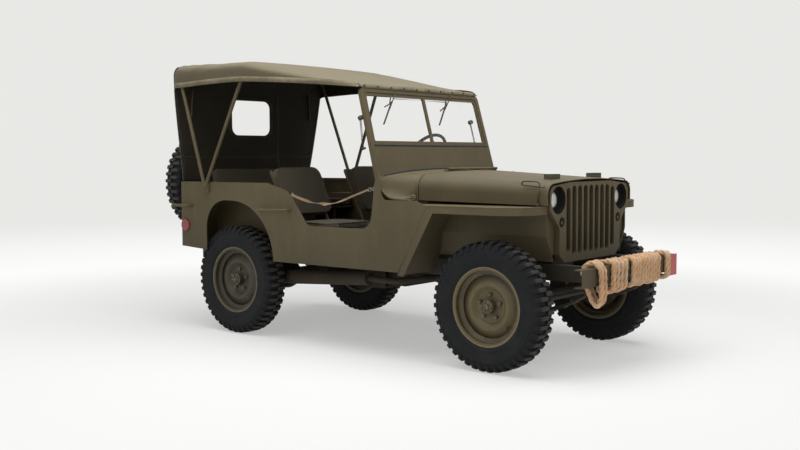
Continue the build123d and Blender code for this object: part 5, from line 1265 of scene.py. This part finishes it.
# The near-black of the head lamps' rims and well walls is painted shade; the small lamps' covers take the same
# finish.
shaded_lamp_rim = mottled(
    "shaded_lamp_rim", 60, 0.4, 0.75, tone(10, 9, 8), tone(20, 19, 16), Roughness=0.7, Specular_IOR_Level=0.15
)
lenses, rims, small_lenses = bmesh.new(), bmesh.new(), bmesh.new()
for s in (-1, 1):
    back, y, z = GRILLE_FRONT - LAMP_SUNK, s * LAMP_PLACE[0], LAMP_PLACE[1]
    face_on(lenses, LENS_PROFILE, back, y, z)
    face_on(rims, RIM, back, y, z)
    back, y, z = GRILLE_FRONT - SMALL_LAMP_SUNK, s * SMALL_LAMP_PLACE[0], SMALL_LAMP_PLACE[1]
    face_on(rims, SMALL_COVER, back, y, z, 32)
    face_on(small_lenses, SMALL_WINDOW, back, y - 2, z - 4, 24)
new_piece("small_lenses", small_lenses, lamp_shell, "chassis")
new_piece("lamp_lenses", lenses, lens_glass.material, "chassis")
new_piece("lamp_rims", rims, shaded_lamp_rim, "chassis")


# ---- windscreen fittings -----------------------------------------------------------------------------
# Rubber strips that seal the glass frame and the foot of the screen, two wipers with hand levers on the
# inside, the twin-rod stays that hold the glass frame open and a row of rivets along the screen's foot.
# The wipers' pivots pass through the frame.
SCREEN_FOOT = (181, 1081)


def on_screen(y, up, depth):
    """A place in the windscreen's plane: across, up the slope from its foot and out from its middle."""
    return at(SCREEN_FOOT[0], y, SCREEN_FOOT[1]) + rail_up * (up / 1000) + rail_out * (depth / 1000)


def rod_through(mesh, points, radius, sides=10):
    """A round rod through places on the car."""
    along([Vector(p) for p in points], radius, sides, mesh)


def strip(mesh, line, width, thick, up):
    """A flat strip along a line: its width lies along up, its thickness square to both."""
    before = None
    for i, place in enumerate(line):
        ahead_of = (line[min(i + 1, len(line) - 1)] - line[max(i - 1, 0)]).normalized()
        wide = (up - ahead_of * up.dot(ahead_of)).normalized() * (width / 2)
        thin = ahead_of.cross(wide).normalized() * (thick / 2)
        corners = [place + wide + thin, place - wide + thin, place - wide - thin, place + wide - thin]
        ring = [mesh.verts.new(corner) for corner in corners]
        if before:
            for k in range(4):
                mesh.faces.new((before[k], ring[k], ring[(k + 1) % 4], before[(k + 1) % 4]))
        else:
            mesh.faces.new(list(reversed(ring)))
        before = ring
    mesh.faces.new(before)
    bmesh.ops.recalc_face_normals(mesh, faces=mesh.faces)


SEAL_ENDS, SEAL_UP, SEAL_OUT, FOOT_SEAL_R = (-591, 597), 172, 12.6, 0.0085
COWL_R, COWL_SIDE_Y, COWL_CORNER_R = 4.821, 0.543, 0.092
FOOT_HALF, FOOT_TOP, FOOT_REACH = 0.62, 1.102, 0.6
TURN_DOWN = ((228, 642, 1052), (256, 675, 1056), (279, 699, 1044), (292, 708, 1024), (297, 709, 1006))
seal_rubber = mottled("seal_rubber", 50, 0.4, 0.7, tone(30, 29, 29), tone(46, 44, 42), Roughness=0.7)
seals = bmesh.new()
for out in (SEAL_OUT, -SEAL_OUT):
    strip(seals, [on_screen(y, SEAL_UP, out) for y in SEAL_ENDS], 0.011, 0.0022, rail_up)
foot = []
for k in range(-28, 29):
    y = FOOT_HALF * k / 28
    z = FOOT_TOP - (COWL_R - sqrt(COWL_R**2 - y * y))
    over = abs(y) - COWL_SIDE_Y
    if over > 0:
        z -= COWL_CORNER_R - sqrt(max(COWL_CORNER_R**2 - over**2, 0.0004))
    if abs(y) <= FOOT_REACH:
        foot.append(Vector((at(195, 0, 0).x + (1.095 - z) * 0.2, y, z)))
right_end, left_end = ([at(x, s * y, z) for x, y, z in TURN_DOWN] for s in (-1, 1))
foot = [*reversed(right_end), *foot[:-1], *left_end]
along(spline_points("foot_seal", foot), FOOT_SEAL_R, 12, seals)
new_piece("screen_seals", seals, seal_rubber, "chassis")

wiper_paint = paint("wiper_paint", tone(52, 48, 38), tone(96, 90, 76), rough=0.45, spots=0.6)
wipers, blades = bmesh.new(), bmesh.new()
WIPERS = (  # pivot, the arm's elbow, the blade's tip, the inner lever's knee and its end
    ((-287, 519), (-380, 402), (-460, 305), (-324, 449), (-377, 428)),
    ((292, 516), (193, 416), (106, 312), (255, 452), (193, 421)),
)
WIPER_TIE, TIE_R = ((-285, 484, -18), (261, 483, -18)), 0.0025
STAYS, STAY_TOP, STAY_LOW, STAY_ROD_R = ((-621, -653), (516, 519)), 352, 160, 0.0025
KNOB_R, STAY_PIN_R = 0.0145, 0.007
for pivot, elbow, tip, knee, end in WIPERS:
    rod_through(wipers, [on_screen(*pivot, -23), on_screen(*pivot, 21)], 0.006, 14)
    bend = (pivot[0] * 0.7 + elbow[0] * 0.3, pivot[1] * 0.7 + elbow[1] * 0.3)
    strip(wipers, [on_screen(*pivot, 19), on_screen(*bend, 20), on_screen(*elbow, 15)], 0.007, 0.0022, rail_up)
    strip(wipers, [on_screen(*pivot, -20), on_screen(*knee, -21), on_screen(*end, -24)], 0.008, 0.0025, rail_up)
    start = (elbow[0] + (elbow[0] - tip[0]) * 0.55, elbow[1] + (elbow[1] - tip[1]) * 0.55)
    strip(wipers, [on_screen(*start, 12), on_screen(*elbow, 13.5), on_screen(*tip, 12)], 0.006, 0.003, rail_up)
    strip(blades, [on_screen(*start, 7), on_screen(*elbow, 7.5), on_screen(*tip, 7)], 0.0022, 0.0085, rail_up)
rod_through(wipers, [on_screen(*end) for end in WIPER_TIE], TIE_R)
for y, low_y in STAYS:
    for beside in (Vector((0, -0.005, 0)), Vector((0, 0.005, 0))):
        stay = [on_screen(y, STAY_TOP, -28) + beside, on_screen(low_y, STAY_LOW, -30) + beside]
        rod_through(wipers, stay, STAY_ROD_R)
    rod_through(wipers, [on_screen(y, STAY_TOP, depth) for depth in (-12, -36)], KNOB_R, 18)
    rod_through(wipers, [on_screen(low_y, STAY_LOW, depth) for depth in (-12, -36)], STAY_PIN_R, 12)
RIVET_FROM, RIVET_TO, RIVET_STEP, RIVET_UP = -540, 540, 60, 40
for y in range(RIVET_FROM, RIVET_TO + 1, RIVET_STEP):
    rod_through(wipers, [on_screen(y, RIVET_UP, depth) for depth in (9, 13.6)], 0.0035, 10)
new_piece("screen_fittings", wipers, wiper_paint, "chassis")
new_piece("wiper_blades", blades, seal_rubber, "chassis")


# ---- rolled edges, corner plates and bolts on the body ------------------------------------------------
# The tub's open edges and the fenders' lips are rolled over a wire. Thin plates close the corners of the
# cowl and the grille's sides. Round-headed bolts and two wire hood catches are fixed to the sheet steel,
# and a wire loop on the cowl takes the strap's hook.
BEAD = [(283, 1076), (289, 1065), (298, 1046), (303, 1024), (306, 1002), (314, 986), (328, 971), (345, 957),
        (362, 947), (385, 940), (413, 937), (460, 935), (504, 933), (534, 930)]  # fmt: skip
FENDER_EDGE = [(432, 503), (500, 636), (570, 773), (630, 891), (640, 901), (660, 904), (800, 904), (1072, 904)]
FENDER_Y, FENDER_TOP, FENDER_ROUND, FENDER_ROUND_X, FENDER_INNER = 722, 904, 190, 1072, 462
COWL_HOOK = [(516, 931), (546, 933), (560, 946), (552, 960), (534, 960), (526, 948)]
TUB_Y, BEAD_Y, BEAD_R, HOOK_WIRE_R, LIP_R = 718, 719, 0.0055, 0.0042, 0.0045
COWL_HALF, COWL_ROUND, COWL_X, COWL_SIDE_Z, COWL_TAPER = 543, 92, 199, 978.3, 0.32
PATCH_RUN, PATCH_END, PATCH_STEPS, PATCH_THICK, PATCH_BULGE = 130, 440, 14, 2, 9
beads, corner_plates = bmesh.new(), bmesh.new()
for s in (-1, 1):
    along(spline_points("bead", [at(x, s * BEAD_Y, z) for x, z in BEAD]), BEAD_R, 12, beads)
    along(spline_points("cowl_hook", [at(x, s * BEAD_Y, z) for x, z in COWL_HOOK]), HOOK_WIRE_R, 10, beads)
    lip = [at(x, s * FENDER_Y, z) for x, z in FENDER_EDGE]
    for k in range(1, 10):
        turned = pi / 2 * k / 9
        out = FENDER_Y - FENDER_ROUND + FENDER_ROUND * cos(turned)
        lip.append(at(FENDER_ROUND_X + (FENDER_ROUND - 2) * sin(turned), s * out, FENDER_TOP))
    lip.append(at(FENDER_ROUND_X + FENDER_ROUND - 2, s * FENDER_INNER, FENDER_TOP))
    along(spline_points("fender_lip", lip), LIP_R, 10, beads)
    layers = []
    for inward in (0, PATCH_THICK):
        rows = []
        for x, z in BEAD[1:11]:
            over = max(0.0, z - COWL_SIDE_Z)
            meet_x = min(x + PATCH_RUN, PATCH_END)
            cowl_y = COWL_HALF + sqrt(max(COWL_ROUND**2 - over**2, 0)) + 2 - (meet_x - COWL_X) * COWL_TAPER
            row = []
            for k in range(PATCH_STEPS + 1):
                t = k / PATCH_STEPS
                round_y = TUB_Y + (cowl_y - TUB_Y) * t + PATCH_BULGE * sin(pi * t) - inward
                row.append(corner_plates.verts.new(at(x + (meet_x - x) * t, s * round_y, z)))
            rows.append(row)
        layers.append(rows)
    outer_rows, inner_rows = layers
    for a, b in zip(outer_rows, outer_rows[1:]):
        for k in range(PATCH_STEPS):
            corner_plates.faces.new((a[k], a[k + 1], b[k + 1], b[k]))
    end_rows = [(outer_rows[0], inner_rows[0]), (inner_rows[-1], outer_rows[-1])]
    for a, b in [*zip(inner_rows, inner_rows[1:]), *end_rows]:
        for k in range(PATCH_STEPS):
            corner_plates.faces.new((a[k], b[k], b[k + 1], a[k + 1]))
    for k in (0, PATCH_STEPS):
        for (a, b), (c, d) in zip(zip(outer_rows, outer_rows[1:]), zip(inner_rows, inner_rows[1:])):
            corner_plates.faces.new((a[k], b[k], d[k], c[k]))
GUARD_FILL, FILL_XS = [(452, 880), (452, 744), (404, 624), (358, 640), (358, 788), (400, 832)], (1244, 1247)
for s in (-1, 1):
    sheets = [[corner_plates.verts.new(at(x, s * y, z)) for y, z in GUARD_FILL] for x in FILL_XS]
    corner_plates.faces.new(sheets[0])
    corner_plates.faces.new(list(reversed(sheets[1])))
    for k in range(len(GUARD_FILL)):
        following = (k + 1) % len(GUARD_FILL)
        corner_plates.faces.new((sheets[0][k], sheets[1][k], sheets[1][following], sheets[0][following]))
bmesh.ops.recalc_face_normals(corner_plates, faces=corner_plates.faces)
corner_piece = new_piece("cowl_corners", corner_plates, olive, "chassis")
corner_piece.data.set_sharp_from_angle(angle=0.7)
new_piece("edge_beads", beads, olive, "chassis")

CATCH_X, CATCH_Y, CATCH_INNER_Y = 1229, 501, 488
CATCH_PULL = [(1272, 1012), (1229, 1014), (1175, 1020), (1121, 1022), (1130, 1040),
              (1140, 1044), (1190, 1044), (1247, 1040), (1236, 1014)]  # fmt: skip
BOLTS = [(-432, 946), (-432, 930), (205, 1003), (205, 970), (1090, 880), (1090, 850), (1244, 888), (-1020, 862)]
fixings, catches = bmesh.new(), bmesh.new()
for s in (-1, 1):
    y = s * CATCH_Y
    rod_through(catches, [at(CATCH_X, y, 922), at(CATCH_X, y, 1012)], 0.004)
    rod_through(catches, [at(CATCH_X, y, 906), at(CATCH_X, y, 924)], 0.007, 14)
    pull = [at(x, y - s * 4 * (z < 1030), z) for x, z in CATCH_PULL]
    along(spline_points("catch", pull), 0.0042, 10, catches)
    for z in (934, 996):
        rod_through(catches, [at(CATCH_X, s * CATCH_INNER_Y, z), at(CATCH_X, y + s * 5, z)], 0.008, 14)
    for x, z in BOLTS:
        rod_through(fixings, [at(x, s * 723, z), at(x, s * 728.5, z)], 0.0055, 12)
new_piece("hood_catches", catches, lamp_shell, "hood")
new_piece("body_bolts", fixings, olive, "chassis")


# ---- corner straps ----------------------------------------------------------------------------------
# A brown leather strap hangs from the top bow in each rear corner, inside the curtain. Its lower end is
# free until it is buckled round the rolled-up curtain.
CORNER_STRAP = ((-1556, 579, 1669), (-1554, 584, 1600), (-1557, 590, 1530), (-1558, 592, 1465))
leather = Look("leather", Roughness=0.6)
creases = leather.noise(90, 4, 0.6)
leather.finish(
    leather.mix(creases.between(0.35, 0.7), tone(58, 40, 28), tone(86, 60, 42)),
    None,
    leather.bump(creases, 0.001, 0.6),
)
corner_straps = bmesh.new()
for s in (-1, 1):
    hang = [at(x, s * y, z) for x, y, z in CORNER_STRAP]
    strip(corner_straps, spline_points("corner_strap", hang), 0.022, 0.004, Vector((1, 0, 0)))
new_piece("corner_straps", corner_straps, leather.material, "chassis")
